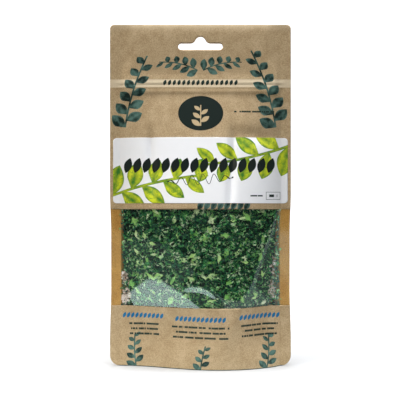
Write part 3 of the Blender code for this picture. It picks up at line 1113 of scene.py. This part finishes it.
@dataclass
class Zip:
    """The press-to-close zip inside the header. Its two strips keep the meshes of the frame."""

    plastic: Material
    strips: tuple[str, ...] = ("zip_rib_strip", "zip_groove_strip")

    def build(self, frame: dict[str, Any]) -> None:
        """Gives the strips their finish.

        Args:
            frame: The loaded frame.
        """
        for name in self.strips:
            materials = frame["nodes"][name].data.materials
            materials.clear()
            materials.append(self.plastic)
            log.info("%s: its own mesh, %s", name, self.plastic.name)


EDGE = 0.12  # softness of a printed edge, in millimetres


@dataclass(frozen=True)
class Motif:
    """A printed shape, with sizes in millimetres."""

    centre: Pair

    def inside(self, add: Add, place: Any) -> Node:
        """Measures how far inside the motif's edge a point lies.

        Args:
            add: Adds a node to the tree.
            place: The point being shaded, in millimetres.

        Returns:
            The distance in millimetres, which is below zero outside.
        """
        raise NotImplementedError

    def axes(self, add: Add, place: Any, turn: float = 0.0) -> tuple[Node, Node]:
        """Measures a point along the motif's own two axes.

        Args:
            add: Adds a node to the tree.
            place: The point being shaded, in millimetres.
            turn: How far the first axis is turned from +X towards +Z, in degrees.

        Returns:
            The distance along the first axis and along the second.
        """
        c, s = cos_sin(turn)
        off = add("VectorMath.SUBTRACT", (place, (self.centre[0], 0, self.centre[1])))
        first = add("VectorMath.DOT_PRODUCT", (off, (c, 0, s)))
        return first, add("VectorMath.DOT_PRODUCT", (off, (-s, 0, c)))


@dataclass(frozen=True)
class Sprig(Motif):
    """A stem with pointed leaves on both sides in turn. Its centre is the stem's foot."""

    height: float
    turn: float  # how far it leans to the left, in degrees
    bend: float  # times the square of the height, how far it has strayed to its right
    leaf: float
    leaf_width: float
    spacing: float  # between the leaves on one side
    stem: float
    taper: float  # the share of its size that a leaf loses by the tip
    leaf_turn: float = 55.0  # of the leaves off the stem, in degrees

    def inside(self, add: Add, place: Any) -> Node:
        """Measures how far inside the motif's edge a point lies.

        Args:
            add: Adds a node to the tree.
            place: The point being shaded, in millimetres.

        Returns:
            The distance in millimetres, which is below zero outside.
        """
        u, v = self.axes(add, place, self.turn)
        u = add("Math.MULTIPLY_ADD", (add("Math.MULTIPLY", (v, v)), -self.bend, u))
        aside = add("Math.ABSOLUTE", (u,))
        right = add("Math.GREATER_THAN", (u, 0.0))
        # The leaves on the right stand half a space off those on the left
        stagger = add("Math.MULTIPLY_ADD", (right, self.spacing / 2, v))
        up = add("Math.FLOORED_MODULO", (stagger, self.spacing))
        c, s = cos_sin(self.leaf_turn)
        along = weighed(add, aside, s, up, c)
        off = add("Math.ABSOLUTE", (weighed(add, aside, -c, up, s),))
        shrink = add("Math.MULTIPLY_ADD", (v, -self.taper / self.height, 1.0))
        share = add("Math.DIVIDE", (along, add("Math.MULTIPLY", (shrink, self.leaf))))
        lens = add("Math.MULTIPLY", (share, add("Math.SUBTRACT", (1.0, share))))
        edge = add("Math.MULTIPLY", (lens, add("Math.MULTIPLY", (shrink, 2 * self.leaf_width))))
        leaf = add("Math.SUBTRACT", (edge, off))
        rib = add("Math.MULTIPLY_ADD", (off, 0.6, EDGE))
        # A leaf is printed only where its root lies on the stem
        root = add("Math.SUBTRACT", (v, up))
        above = add("Math.MULTIPLY_ADD", (root, 4.0, self.spacing))
        below = add("Math.MULTIPLY_ADD", (root, -4.0, 4 * self.height - 3 * self.spacing))
        stem = add("Math.SUBTRACT", (self.stem / 2, aside))
        left = add("Math.SUBTRACT", (self.height - self.spacing / 2, v))
        leaf, stem = fold(add, "MINIMUM", leaf, rib, above, below), fold(add, "MINIMUM", stem, v, left)
        return fold(add, "MAXIMUM", leaf, stem)


@dataclass(frozen=True)
class Ellipse(Motif):
    """A plain, level ellipse."""

    radii: Pair

    def inside(self, add: Add, place: Any) -> Node:
        """Measures how far inside the motif's edge a point lies.

        Args:
            add: Adds a node to the tree.
            place: The point being shaded, in millimetres.

        Returns:
            The distance in millimetres, which is below zero outside.
        """
        ways = zip(self.axes(add, place), self.radii)
        both = add("CombineXYZ", [add("Math.MULTIPLY", (way, 1 / radius)) for way, radius in ways])
        least = min(self.radii)
        return add("Math.MULTIPLY_ADD", (add("VectorMath.LENGTH", (both,)), -least, least))


@dataclass(frozen=True)
class LeafRow(Motif):
    """A row of leaning, pointed leaves, as in a laurel border."""

    half_length: float
    spacing: float
    leaf: float
    leaf_width: float
    lean: float  # of each leaf to the right, in degrees

    def inside(self, add: Add, place: Any) -> Node:
        """Measures how far inside the motif's edge a point lies.

        Args:
            add: Adds a node to the tree.
            place: The point being shaded, in millimetres.

        Returns:
            The distance in millimetres, which is below zero outside.
        """
        u, v = self.axes(add, place)
        cell = add("Math.FLOORED_MODULO", (u, self.spacing))
        across_cell = add("Math.SUBTRACT", (cell, self.spacing / 2))
        c, s = cos_sin(self.lean)
        share = add("Math.MULTIPLY", (weighed(add, across_cell, s, v, c), 2 / self.leaf))
        square = add("Math.MULTIPLY", (share, share))
        edge = add("Math.MULTIPLY_ADD", (square, -self.leaf_width / 2, self.leaf_width / 2))
        leaf = add("Math.SUBTRACT", (edge, add("Math.ABSOLUTE", (weighed(add, across_cell, c, v, -s),))))
        span = add("Math.SUBTRACT", (self.half_length, add("Math.ABSOLUTE", (u,))))
        return fold(add, "MINIMUM", leaf, span)


@dataclass(frozen=True)
class Dashes(Motif):
    """Lines of short dashes that hold the place of small print."""

    half_size: Pair
    pitch: float  # from line to line
    thick: float  # height of a stroke
    dash: float  # about how long a stroke is
    seed: float
    gap: float = 0.3  # how often the longer gaps come, for each millimetre

    def inside(self, add: Add, place: Any) -> Node:
        """Measures how far inside the motif's edge a point lies.

        Args:
            add: Adds a node to the tree.
            place: The point being shaded, in millimetres.

        Returns:
            The distance in millimetres, which is below zero outside.
        """
        u, v = self.axes(add, place)
        # The centre lies halfway up a line, and each line reads its own stretch of the noises
        lines = add("Math.MULTIPLY_ADD", (v, 1 / self.pitch, 50.5))
        line = add("Math.FLOOR", (lines,))
        off = add("Math.ABSOLUTE", (add("Math.SUBTRACT", (add("Math.FRACT", (lines,)), 0.5)),))
        body = [add("Math.MULTIPLY_ADD", (off, -self.pitch, self.thick / 2))]
        along = add("Math.MULTIPLY_ADD", (line, 37.0, u))
        # How often a stroke may break, and the seed, gain and offset of its noise
        breaks = ((1 / self.dash, 0, 2.4, -0.8), (self.gap, 5, 6.0, -2.25))
        for often, shift, gain, least in breaks:
            spot = add("CombineXYZ", (add("Math.MULTIPLY", (along, often)), line, self.seed + shift))
            body.append(add("Math.MULTIPLY_ADD", (add("TexNoise", (spot, 1.0, 0.0)), gain, least)))
        # The lines' ends are ragged
        ragged = add("TexWhiteNoise", (line,), noise_dimensions="1D")
        half = add("Math.MULTIPLY_ADD", (ragged, -0.18 * self.half_size[0], self.half_size[0]))
        for way, end in ((u, half), (v, self.half_size[1])):
            body.append(add("Math.SUBTRACT", (end, add("Math.ABSOLUTE", (way,)))))
        return fold(add, "MINIMUM", *body)


@dataclass(frozen=True)
class Outline(Motif):
    """The outline of a level box."""

    half_size: Pair
    pen: float

    def inside(self, add: Add, place: Any) -> Node:
        """Measures how far inside the motif's edge a point lies.

        Args:
            add: Adds a node to the tree.
            place: The point being shaded, in millimetres.

        Returns:
            The distance in millimetres, which is below zero outside.
        """
        ways = zip(self.axes(add, place), self.half_size)
        out = [add("Math.SUBTRACT", (add("Math.ABSOLUTE", (way,)), half)) for way, half in ways]
        return add("Math.SUBTRACT", (self.pen / 2, add("Math.ABSOLUTE", (fold(add, "MAXIMUM", *out),))))


@dataclass(frozen=True)
class Flourish(Motif):
    """A thin pen stroke that waves along a line and fades at its ends."""

    half_length: float
    swing: float
    waves: float  # from one end to the other
    pen: float
    lean: float  # from level, in degrees

    def inside(self, add: Add, place: Any) -> Node:
        """Measures how far inside the motif's edge a point lies.

        Args:
            add: Adds a node to the tree.
            place: The point being shaded, in millimetres.

        Returns:
            The distance in millimetres, which is below zero outside.
        """
        u, v = self.axes(add, place, self.lean)
        share = add("Math.MULTIPLY", (u, 1 / self.half_length))
        fade = add("Math.SUBTRACT", (1.0, add("Math.MULTIPLY", (share, share))))
        angle = add("Math.MULTIPLY", (share, math.pi * self.waves))
        wave = add("Math.MULTIPLY", (add("Math.SINE", (angle,)), fade))
        off = add("Math.ABSOLUTE", (add("Math.MULTIPLY_ADD", (wave, -self.swing, v)),))
        steep = add("Math.ABSOLUTE", (add("Math.COSINE", (angle,)),))
        pen = add("Math.MULTIPLY_ADD", (steep, self.pen * 1.6, self.pen * 0.6))
        span = add("Math.MULTIPLY", (fade, self.half_length / 3))
        return fold(add, "MINIMUM", add("Math.SUBTRACT", (pen, off)), span)


@dataclass(frozen=True)
class Ink:
    """One printed colour and the motifs printed in it."""

    colour: str
    motifs: tuple[Motif, ...]
    core: str = ""  # the colour away from its edges, where it is laid as a wash
    run: float = 1.5  # from the first colour to the core's, in millimetres
    wash: float = 0.0  # how unevenly it is laid
    crease: str = ""  # the colour of thin creases drawn in it, if it has any

    def print_on(self, add: Add, place: Any, paper: Node) -> Node:
        """Prints the motifs over a colour.

        Args:
            add: Adds a node to the tree.
            place: The point being shaded, in millimetres.
            paper: The colour so far.

        Returns:
            The colour with the ink on it.
        """
        union = fold(add, "MAXIMUM", *(motif.inside(add, place) for motif in self.motifs))
        mask = add("Math.MULTIPLY", (union, 1 / EDGE), use_clamp=True)
        colour: Any = linear(self.colour)
        if self.wash:
            # Pools of a brushed wash, 7 mm across
            uneven = add("TexNoise", (place, 0.14, 5.0, 0.6))
            uneven = add("Math.MULTIPLY_ADD", (uneven, self.wash, -self.wash * 0.42))
            tone = add("Math.MULTIPLY_ADD", (union, 1 / self.run, uneven), use_clamp=True)
            colour = add("Mix", (tone, colour, linear(self.core)), data_type="RGBA")
        if self.crease:
            # Lines where a noise crosses its middle, about 6 mm apart
            folds = add("TexNoise", (place, 0.16, 2.0, 0.6))
            off = add("Math.ABSOLUTE", (add("Math.SUBTRACT", (folds, 0.5)),))
            line = add("MapRange", (off, 0.0, 0.022, 0.85, 0.0))
            colour = add("Mix", (line, colour, linear(self.crease)), data_type="RGBA")
        return add("Mix", (mask, paper, colour), data_type="RGBA")


@dataclass(frozen=True)
class PaintedHighlightBand:
    """A level band of painted highlight, where the paper is painted paler because a ridge or seal catches the
    light, with heights in millimetres.
    """

    low: float
    high: float
    ease: float  # over which it fades past its edges
    share: float  # how far it goes towards the paler colour

    def lay_on(self, add: Add, place: Any, paper: Node, pale: str) -> Node:
        """Lays the band over a colour.

        Args:
            add: Adds a node to the tree.
            place: The point being shaded, in millimetres.
            paper: The colour so far.
            pale: The colour that the band goes towards.

        Returns:
            The colour with the band on it.
        """
        height = add("SeparateXYZ", (place,)).outputs["Z"]
        up = add("MapRange", (height, self.low - self.ease, self.low, 0.0, self.share))
        down = add("MapRange", (height, self.high, self.high + self.ease, self.share, 0.0))
        return add("Mix", (fold(add, "MINIMUM", up, down), paper, linear(pale)), data_type="RGBA")


def make_material(name: str, surface: Callable[[Add], Node]) -> Material:
    """Builds a material.

    Args:
        name: Its name.
        surface: Adds its nodes and returns the last shader.

    Returns:
        The material.
    """
    material = bpy.data.materials.new(name)
    material.use_nodes = True
    tree = material.node_tree
    tree.nodes.remove(tree.nodes["Principled BSDF"])
    shader = surface(partial(add_node, tree))
    tree.links.new(shader.outputs[0], tree.nodes["Material Output"].inputs["Surface"])
    return material


def millimetres(add: Add) -> Node:
    """The point being shaded, in the piece's own space, in millimetres."""
    return add("VectorMath.SCALE", {"Vector": add("TexCoord").outputs["Object"], "Scale": 1 / MM})


@dataclass(frozen=True)
class Finish:
    """What a surface of the object is made of."""

    name: str

    def surface(self, add: Add) -> Node:
        """Adds the finish's nodes.

        Args:
            add: Adds a node to the tree.

        Returns:
            The shader.
        """
        raise NotImplementedError

    def make(self) -> Material:
        """Builds the material."""
        return make_material(self.name, self.surface)


@dataclass(frozen=True)
class KraftPaper(Finish):
    """Brown kraft paper, machine-glazed: short fibres at random, with a low, uneven sheen."""

    light: str = "#CDB590"
    dark: str = "#A78D67"
    fibre: str = "#866D4A"
    # pale: the colour that the painted highlight bands go towards
    pale: str = "#E6D6B8"
    inks: tuple[Ink, ...] = ()
    painted_highlight_bands: tuple[PaintedHighlightBand, ...] = ()
    roughness: float = 0.55
    gloss: float = 0.2

    def surface(self, add: Add) -> Node:
        """Adds the nodes of the fibres, clouds, print and tooth.

        Args:
            add: Adds a node to the tree.

        Returns:
            The shader.
        """
        place = millimetres(add)
        # Clouds of pulp, 9 mm across
        clouds = add("TexNoise", (place, 1 / 9, 4.0, 0.6))
        # Fibres, 1.4 mm long, drawn coarser than the real 0.05 mm width so that they show
        fibres = add("TexNoise", (place, 1 / 0.7, 3.0, 0.75))
        both = weighed(add, fibres, 0.7, clouds, 0.3)
        tone = add("MapRange", (both, 0.39, 0.61, 0.0, 1.0))
        colour = add("Mix", (tone, linear(self.dark), linear(self.light)), data_type="RGBA")
        # Dark knots of fibre, 1.7 mm apart
        specks = add("TexVoronoi", (place, 1 / 1.7), feature="F1")
        speck = add("MapRange", (specks, 0.18, 0.08, 0.0, 0.6))
        colour = add("Mix", (speck, colour, linear(self.fibre)), data_type="RGBA")
        # Painted highlights: paler bands where the zip's tracks and the top seal catch the light
        for band in self.painted_highlight_bands:
            colour = band.lay_on(add, place, colour, self.pale)
        for ink in self.inks:
            colour = ink.print_on(add, place, colour)
        rough = add("MapRange", (both, 0.3, 0.7, self.roughness - 0.07, self.roughness + 0.09))
        # Paper tooth, 0.6 mm
        tooth = add("TexNoise", (place, 1 / 0.6, 3.0, 0.7))
        bump = add("Bump", {"Strength": 0.5, "Distance": 0.05 * MM, "Height": tooth})
        sockets = {"Base Color": colour, "Roughness": rough, "Specular IOR Level": self.gloss, "Normal": bump}
        return add("BsdfPrincipled", sockets)


@dataclass(frozen=True)
class LabelPaper(Finish):
    """White coated label paper, printed and varnished: smooth, with a soft gloss."""

    white: str = "#FCFCFE"
    shade: str = "#F6F7F9"
    inks: tuple[Ink, ...] = ()
    roughness: float = 0.34
    gloss: float = 0.35

    def surface(self, add: Add) -> Node:
        """Adds the nodes of the print and varnish.

        Args:
            add: Adds a node to the tree.

        Returns:
            The shader.
        """
        place = millimetres(add)
        # Clouds in the coating, 6 mm across
        clouds = add("TexNoise", (place, 1 / 6, 3.0))
        colour = add("Mix", (clouds, linear(self.white), linear(self.shade)), data_type="RGBA")
        for ink in self.inks:
            colour = ink.print_on(add, place, colour)
        # Orange peel of the varnish, 0.9 mm
        peel = add("TexNoise", (place, 1 / 0.9, 2.0))
        bump = add("Bump", {"Strength": 0.15, "Distance": 0.02 * MM, "Height": peel})
        sockets = {"Roughness": self.roughness, "Specular IOR Level": self.gloss, "Normal": bump}
        return add("BsdfPrincipled", {"Base Color": colour, **sockets})


@dataclass(frozen=True)
class DriedFrond(Finish):
    """Dried green algae in scraps: thin, crinkled, dull, some dark and thick and some pale and thin."""

    stops: tuple[tuple[float, str], ...]
    roughness: float = 0.55

    def surface(self, add: Add) -> Node:
        """Adds the nodes of the tones and crinkles.

        Args:
            add: Adds a node to the tree.

        Returns:
            The shader.
        """
        place = millimetres(add)
        scrap = add("NewGeometry").outputs["Random Per Island"]
        # Mottling within a scrap, 0.9 mm across
        mottle = add("Math.MULTIPLY_ADD", (add("TexNoise", (place, 1 / 0.9, 3.0)), 0.2, -0.55))
        # Scraps of one frond lie together, in groups about 5 mm wide
        groups = add("Math.MULTIPLY_ADD", (add("TexNoise", (place, 1 / 5, 1.0)), 0.9, mottle))
        tone = add("Math.ADD", (scrap, groups), use_clamp=True)
        colour = fill_ramp(add("ValToRGB", (tone,)), self.stops)
        # Crinkles, 0.7 mm apart
        crinkle = add("TexNoise", (place, 1 / 0.7, 3.0))
        bump = add("Bump", {"Strength": 0.6, "Distance": 0.15 * MM, "Height": crinkle})
        return add("BsdfPrincipled", {"Base Color": colour, "Roughness": self.roughness, "Normal": bump})


@dataclass(frozen=True)
class ClearFilm(Finish):
    """Biaxially drawn clear film: it lets the light through and mirrors bright things faintly."""

    roughness: float = 0.04
    face_on: float = 0.05  # the share of light that each surface mirrors when seen straight on

    def surface(self, add: Add) -> Node:
        """Adds the nodes of the clear body and its mirror.

        Args:
            add: Adds a node to the tree.

        Returns:
            The shader.
        """
        clear = add("BsdfTransparent", (linear("#FFFFFF"),))
        mirror = add("BsdfAnisotropic", {"Roughness": self.roughness})
        grazing = add("Math.POWER", (add("LayerWeight").outputs["Facing"], 5.0))
        share = add("Math.MULTIPLY_ADD", (grazing, 1 - self.face_on, self.face_on))
        return add("MixShader", (share, clear, mirror))


@dataclass(frozen=True)
class ZipPlastic(Finish):
    """Extruded polyethylene of the zip: milky and smooth."""

    colour: str = "#E6E8E4"
    streak: str = "#F3F4F1"
    roughness: float = 0.35

    def surface(self, add: Add) -> Node:
        """Adds the nodes of the die lines.

        Args:
            add: Adds a node to the tree.

        Returns:
            The shader.
        """
        # Die lines along the strip, 0.3 mm apart
        stretched = add("Mapping", {"Vector": millimetres(add), "Scale": (0.02, 3, 3)})
        lines = add("TexNoise", (stretched, 1.0, 1.0))
        tone = add("Mix", (lines, linear(self.colour), linear(self.streak)), data_type="RGBA")
        return add("BsdfPrincipled", {"Base Color": tone, "Roughness": self.roughness})


@dataclass(frozen=True)
class Softbox:
    """A square soft light, with sizes in metres."""

    name: str
    place: tuple[float, float, float]
    size: float
    power: float
    colour: str


@dataclass
class Studio:
    """The floor, the backdrop, the lights and the camera, with sizes in metres."""

    lens: float = 87.6
    eye: tuple[float, float, float] = (-0.0003, -0.700, 0.119)
    aim: tuple[float, float, float] = (0.0, 0.0, 0.12)
    paper: float = 6.0  # width of the floor and of the backdrop
    back_glow: float = 0.5  # how brightly the backdrop lights the object's back
    shadow_fades: Pair = (0.175, 0.7)  # distances between which the floor loses its shadow
    shadow_lift: float = 0.06  # how far the floor is lifted to white within the first of them
    bounce_fades: Pair = (0.145, 0.205)  # distances between which the floor's painted glow stops lighting the object
    bounce: float = 1.15
    pool_centre: tuple[float, float, float] = (-0.045, 0.0, 0.0)  # of the painted glowing pool on the floor, which only mirrors such as the film see
    pool_edge: Pair = (0.125, 0.155)
    pool_glow: float = 4.2
    dim_glow: float = 0.3  # of the rest of the floor that the film mirrors
    strip_sides: Pair = (0.115, 0.145)  # where a painted glowing strip, seen only by mirrors, starts on the right of the floor
    strip_ends: Pair = (-0.005, 0.025)  # where it ends, towards the back
    room_dim: float = 0.06
    above_span: Pair = (0.3, 0.8)  # how far up a way points where the room grows brighter
    above_glow: float = 0.4
    behind_span: Pair = (0.1, 0.5)  # and how far back
    behind_glow: float = 0.75
    room_mirrored: float = 0.4  # the share of its light that the room shows to gloss
    softboxes: tuple[Softbox, ...] = (
        Softbox("overhead softbox", (0.0, -0.05, 1.05), 0.45, 21.5, "#F8FBFF"),
        Softbox("side softbox", (-0.82, -0.38, 0.75), 0.4, 3.9, "#FFF4E2"),
        Softbox("fill softbox", (0.60, -0.70, 0.75), 0.4, 0.7, "#FBFDFF"),
    )

    def floor(self, add: Add) -> Node:
        """Makes a sweep that is white to the eye and takes the object's shadow; close to the object it glows
        to light the object from below, which is painted light.

        Args:
            add: Adds a node to the tree.

        Returns:
            The shader.
        """
        rays = add("LightPath").outputs
        place = add("TexCoord").outputs["Object"]
        seen = fold(add, "MAXIMUM", rays["Is Camera Ray"], rays["Is Transmission Ray"])
        far = add("VectorMath.LENGTH", (place,))
        lift = add("MapRange", (far, *self.shadow_fades, self.shadow_lift, 1.0))
        # Painted light: close to the object the floor glows for the rays that light the object
        bounce = add("MapRange", (far, *self.bounce_fades, self.bounce, 0.0))
        strength = add("Mix", (seen, bounce, lift), data_type="FLOAT")
        grey = add("Mix", (seen, linear("#606060"), linear("#B8B8B8")), data_type="RGBA")
        lit = add("AddShader", (add("BsdfDiffuse", (grey,)), add("Emission", (linear("#FFFFFF"), strength))))
        # Painted reflections: a glowing pool and strip, tinted green-white, that only glossy rays see, so
        # that the film mirrors them
        aside = add("VectorMath.DISTANCE", (place, self.pool_centre))
        pool = add("MapRange", (aside, *self.pool_edge, self.pool_glow, self.dim_glow))
        ways = add("SeparateXYZ", (place,)).outputs
        right = add("MapRange", (ways["X"], *self.strip_sides, self.dim_glow, 1.0))
        level = add("MapRange", (ways["Y"], *self.strip_ends, 1.0, self.dim_glow))
        mirrored = fold(add, "MAXIMUM", pool, add("Math.MULTIPLY", (right, level)))
        return add("MixShader", (rays["Is Glossy Ray"], lit, add("Emission", (linear("#DCF6F0"), mirrored))))

    def backdrop(self, add: Add) -> Node:
        """Makes a paper wall that is as bright to mirrors as to the eye.

        Args:
            add: Adds a node to the tree.

        Returns:
            The shader.
        """
        rays = add("LightPath").outputs
        whole = (rays[f"Is {kind} Ray"] for kind in ("Camera", "Glossy", "Transmission"))
        strength = fold(add, "MAXIMUM", *whole, self.back_glow)
        paper = add("BsdfDiffuse", (linear("#CFCFCF"),))
        return add("AddShader", (paper, add("Emission", (linear("#FFFFFF"), strength))))

    def plane(self, name: str, matrix: Matrix, material: Material) -> None:
        """Adds a flat stage piece.

        Args:
            name: Its name.
            matrix: Its place and turn.
            material: Its finish.
        """
        bm = bmesh.new()
        bmesh.ops.create_grid(bm, x_segments=1, y_segments=1, size=self.paper / 2, matrix=matrix)
        finish_mesh(name, bm, [material])
        log.info("%s: stage", name)

    def hang(self, softbox: Softbox) -> None:
        """Adds a softbox that faces the object.

        Args:
            softbox: What it is and where it hangs.
        """
        light = bpy.data.lights.new(softbox.name, "AREA")
        light.size = softbox.size
        light.energy = softbox.power
        light.color = linear(softbox.colour)[:3]
        lamp = bpy.data.objects.new(softbox.name, light)
        lamp.location = softbox.place
        lamp.rotation_euler = (Vector(self.aim) - Vector(softbox.place)).to_track_quat("-Z", "Y").to_euler()
        bpy.context.scene.collection.objects.link(lamp)

    def build(self) -> None:
        """Sets up everything round the object."""
        camera = bpy.data.cameras.new("camera")
        camera.lens = self.lens
        camera.sensor_width = 36.0
        eye = bpy.data.objects.new("camera", camera)
        eye.location = self.eye
        eye.rotation_euler = (math.radians(90), 0, 0)
        bpy.context.scene.collection.objects.link(eye)
        bpy.context.scene.camera = eye
        wall = Matrix.Translation((0, 1.6, 1.0)) @ Matrix.Rotation(math.radians(90), 4, "X")
        self.plane("floor", Matrix.Identity(4), make_material("seamless paper floor", self.floor))
        self.plane("backdrop", wall, make_material("seamless paper backdrop", self.backdrop))
        for softbox in self.softboxes:
            self.hang(softbox)
        self.build_world()
        bpy.context.scene.view_settings.view_transform = "Standard"

    def build_world(self) -> None:
        """Fills the room with light: white to the eye, dim in front and bright behind and above."""
        world = bpy.data.worlds.new("soft room")
        bpy.context.scene.world = world
        world.use_nodes = True
        tree = world.node_tree
        add = partial(add_node, tree)
        ways = add("SeparateXYZ", (add("TexCoord").outputs["Generated"],)).outputs
        sides = (("Z", self.above_span, self.above_glow), ("Y", self.behind_span, self.behind_glow))
        lit = (add("MapRange", (ways[way], *span, self.room_dim, glow)) for way, span, glow in sides)
        room = fold(add, "MAXIMUM", *lit)
        rays = add("LightPath").outputs
        seen = fold(add, "MAXIMUM", rays["Is Camera Ray"], rays["Is Transmission Ray"])
        dimmed = add("Math.MULTIPLY_ADD", (rays["Is Glossy Ray"], self.room_mirrored - 1, 1.0))
        strength = fold(add, "MAXIMUM", add("Math.MULTIPLY", (room, dimmed)), seen)
        sky = tree.nodes["Background"]
        sky.inputs["Color"].default_value = linear("#FFFFFF")
        tree.links.new(strength.outputs[0], sky.inputs["Strength"])


TEAL_INK = Ink(
    "#57796F",
    core="#112622",
    run=2.6,
    wash=4.0,
    motifs=(
        Sprig((-54, 171), 58, -8, 0.003, 14.0, 8.4, 9.4, 1.4, 0.5),
        Sprig((54, 171), 62, 8, -0.003, 14.0, 8.4, 9.4, 1.4, 0.5),
        Sprig((-2, 212), 30, 60, -0.012, 9.5, 5.2, 6.0, 1.0, 0.5),
        Sprig((2, 212), 30, -60, 0.012, 9.5, 5.2, 6.0, 1.0, 0.5),
        LeafRow((16.5, 115.2), 19.0, 4.7, 7.4, 4.2, 32),
        Sprig((-46, 0), 26, 10, 0.006, 9.0, 4.6, 6.0, 1.1, 0.5),
        Sprig((0, 0), 20, -6, 0.006, 8.0, 4.2, 5.6, 1.1, 0.5),
        Sprig((47, 0), 26, -12, -0.006, 9.0, 4.6, 6.0, 1.1, 0.5),
    ),
)
STAMP_INK = Ink("#13211D", (Ellipse((0.2, 181.0), (16.2, 12.6)),))
STAMP_LEAF = Ink("#C9B28B", (Sprig((0.2, 171.8), 18, 0, 0.0, 9.0, 4.0, 5.6, 0.9, 0.45),))
# Small print, and in the same dark ink a painted contact shadow along the foot
SMALL_PRINT_AND_SHADOW_INK = Ink(
    "#22312B",
    (
        LeafRow((0, 203.2), 27.2, 3.4, 4.4, 2.4, 20),
        Dashes((38.5, 182.2), (17, 1.1), 2.6, 1.3, 0.7, 3.0),
        Dashes((-40.0, 27.0), (11.5, 5.4), 3.6, 1.5, 0.7, 1.0),
        Dashes((0.0, 26.0), (21, 5.4), 3.6, 1.5, 0.7, 5.0),
        Dashes((42.0, 27.0), (14, 5.4), 3.6, 1.5, 0.7, 9.0),
        Outline((0.0, 0.0), (70.0, 0.1), 1.0),  # a painted contact shadow: a thin dark line along the foot
    ),
)
BLUE_INK = Ink(
    "#1C6E9E",
    (
        LeafRow((-41.0, 36.6), 15.0, 3.0, 4.6, 2.3, 26),
        LeafRow((0.0, 35.4), 18.0, 3.0, 4.6, 2.3, 26),
        LeafRow((42.0, 36.6), 15.0, 3.0, 4.6, 2.3, 26),
    ),
)
LIME_INK = Ink(
    "#3B7A2A",
    core="#D3DC2E",
    run=2.6,
    wash=2.6,
    crease="#5C9A33",
    motifs=(
        Sprig((-64, 122), 78, -70, 0.002, 25.0, 13.0, 15.5, 2.0, 0.45),
        Sprig((64, 158), 78, 110, 0.002, 25.0, 13.0, 15.5, 2.0, 0.45),
    ),
)
TITLE_INK = Ink("#151F1C", (LeafRow((-0.8, 143.6), 54.4, 6.8, 11.4, 5.9, 18),))
PEN_INK = Ink(
    "#1D2925",
    (
        Flourish((0, 133.5), 23.5, 3.8, 6.0, 0.3, 4.0),
        Outline((52.0, 122.0), (5.2, 2.6), 0.4),
        Dashes((52.0, 122.0), (3.6, 1.2), 3.4, 2.0, 0.8, 4.0),
        Dashes((40.0, 122.0), (5.5, 1.1), 3.4, 1.1, 0.7, 6.0),
    ),
)
KRAFT_INKS = (TEAL_INK, STAMP_INK, STAMP_LEAF, SMALL_PRINT_AND_SHADOW_INK, BLUE_INK)
LABEL_INKS = (LIME_INK, TITLE_INK, PEN_INK)
# Painted highlights: a band over the zip's tracks, and a sheen along the top seal
PAINTED_HIGHLIGHT_BANDS = (PaintedHighlightBand(200.2, 205.2, 0.8, 0.72), PaintedHighlightBand(243.8, 245.5, 4.0, 0.25))

# Painted shade: frond colours as dark as flakes deep in the pouch look in their shadow
SHADE_PAINTED_FROND = ((0.0, "#021A11"), (0.6, "#03261A"), (1.0, "#083826"))
MIXED = (
    (0.0, "#022D1E"), (0.35, "#0A4636"), (0.6, "#1E744C"),
    (0.75, "#4CAB5E"), (0.88, "#9ADF88"), (0.97, "#E8FFD4"),
)
# The frond's own mix of greens, painted lighter as if lit where the shards lie near the film
LIGHT_PAINTED_FROND = ((0.0, "#0A4636"), (0.3, "#1F784A"), (0.54, "#54B15E"), (0.78, "#A0E388"), (0.97, "#EAFFD6"))
PALE = ((0.0, "#86CF66"), (0.5, "#C4F092"), (1.0, "#F4FFDA"))
WHITISH = ((0.0, "#B09C86"), (0.2, "#DEC8B4"), (0.7, "#F4E4D8"), (1.0, "#FFF6F0"))


def main() -> None:
    """Builds the looks in order."""
    logging.basicConfig(level=logging.INFO, format="%(message)s")
    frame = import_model()
    Studio().build()
    Laminate(
        FORM,
        printed=KraftPaper("printed kraft paper", inks=KRAFT_INKS, painted_highlight_bands=PAINTED_HIGHLIGHT_BANDS).make(),
        plain=KraftPaper("plain kraft paper").make(),
        lining=KraftPaper("film-lined kraft paper", "#F4C56E", "#C98F44", "#9C6C38", roughness=0.35).make(),
        clear=ClearFilm("clear film").make(),
        white=LabelPaper("varnished label paper", inks=LABEL_INKS).make(),
    ).build()
    Flakes(
        FORM,
        dark=DriedFrond("dried frond, painted shade", SHADE_PAINTED_FROND).make(),
        mixed=DriedFrond("dried frond", MIXED).make(),
        bright=DriedFrond("dried frond, painted lit near the film", LIGHT_PAINTED_FROND).make(),
        pale=DriedFrond("dried frond, thin and pale", PALE).make(),
        whitish=DriedFrond("dried frond, near-white", WHITISH).make(),
    ).build(frame)
    Zip(ZipPlastic("polyethylene zip").make()).build(frame)


if __name__ == "__main__":
    main()
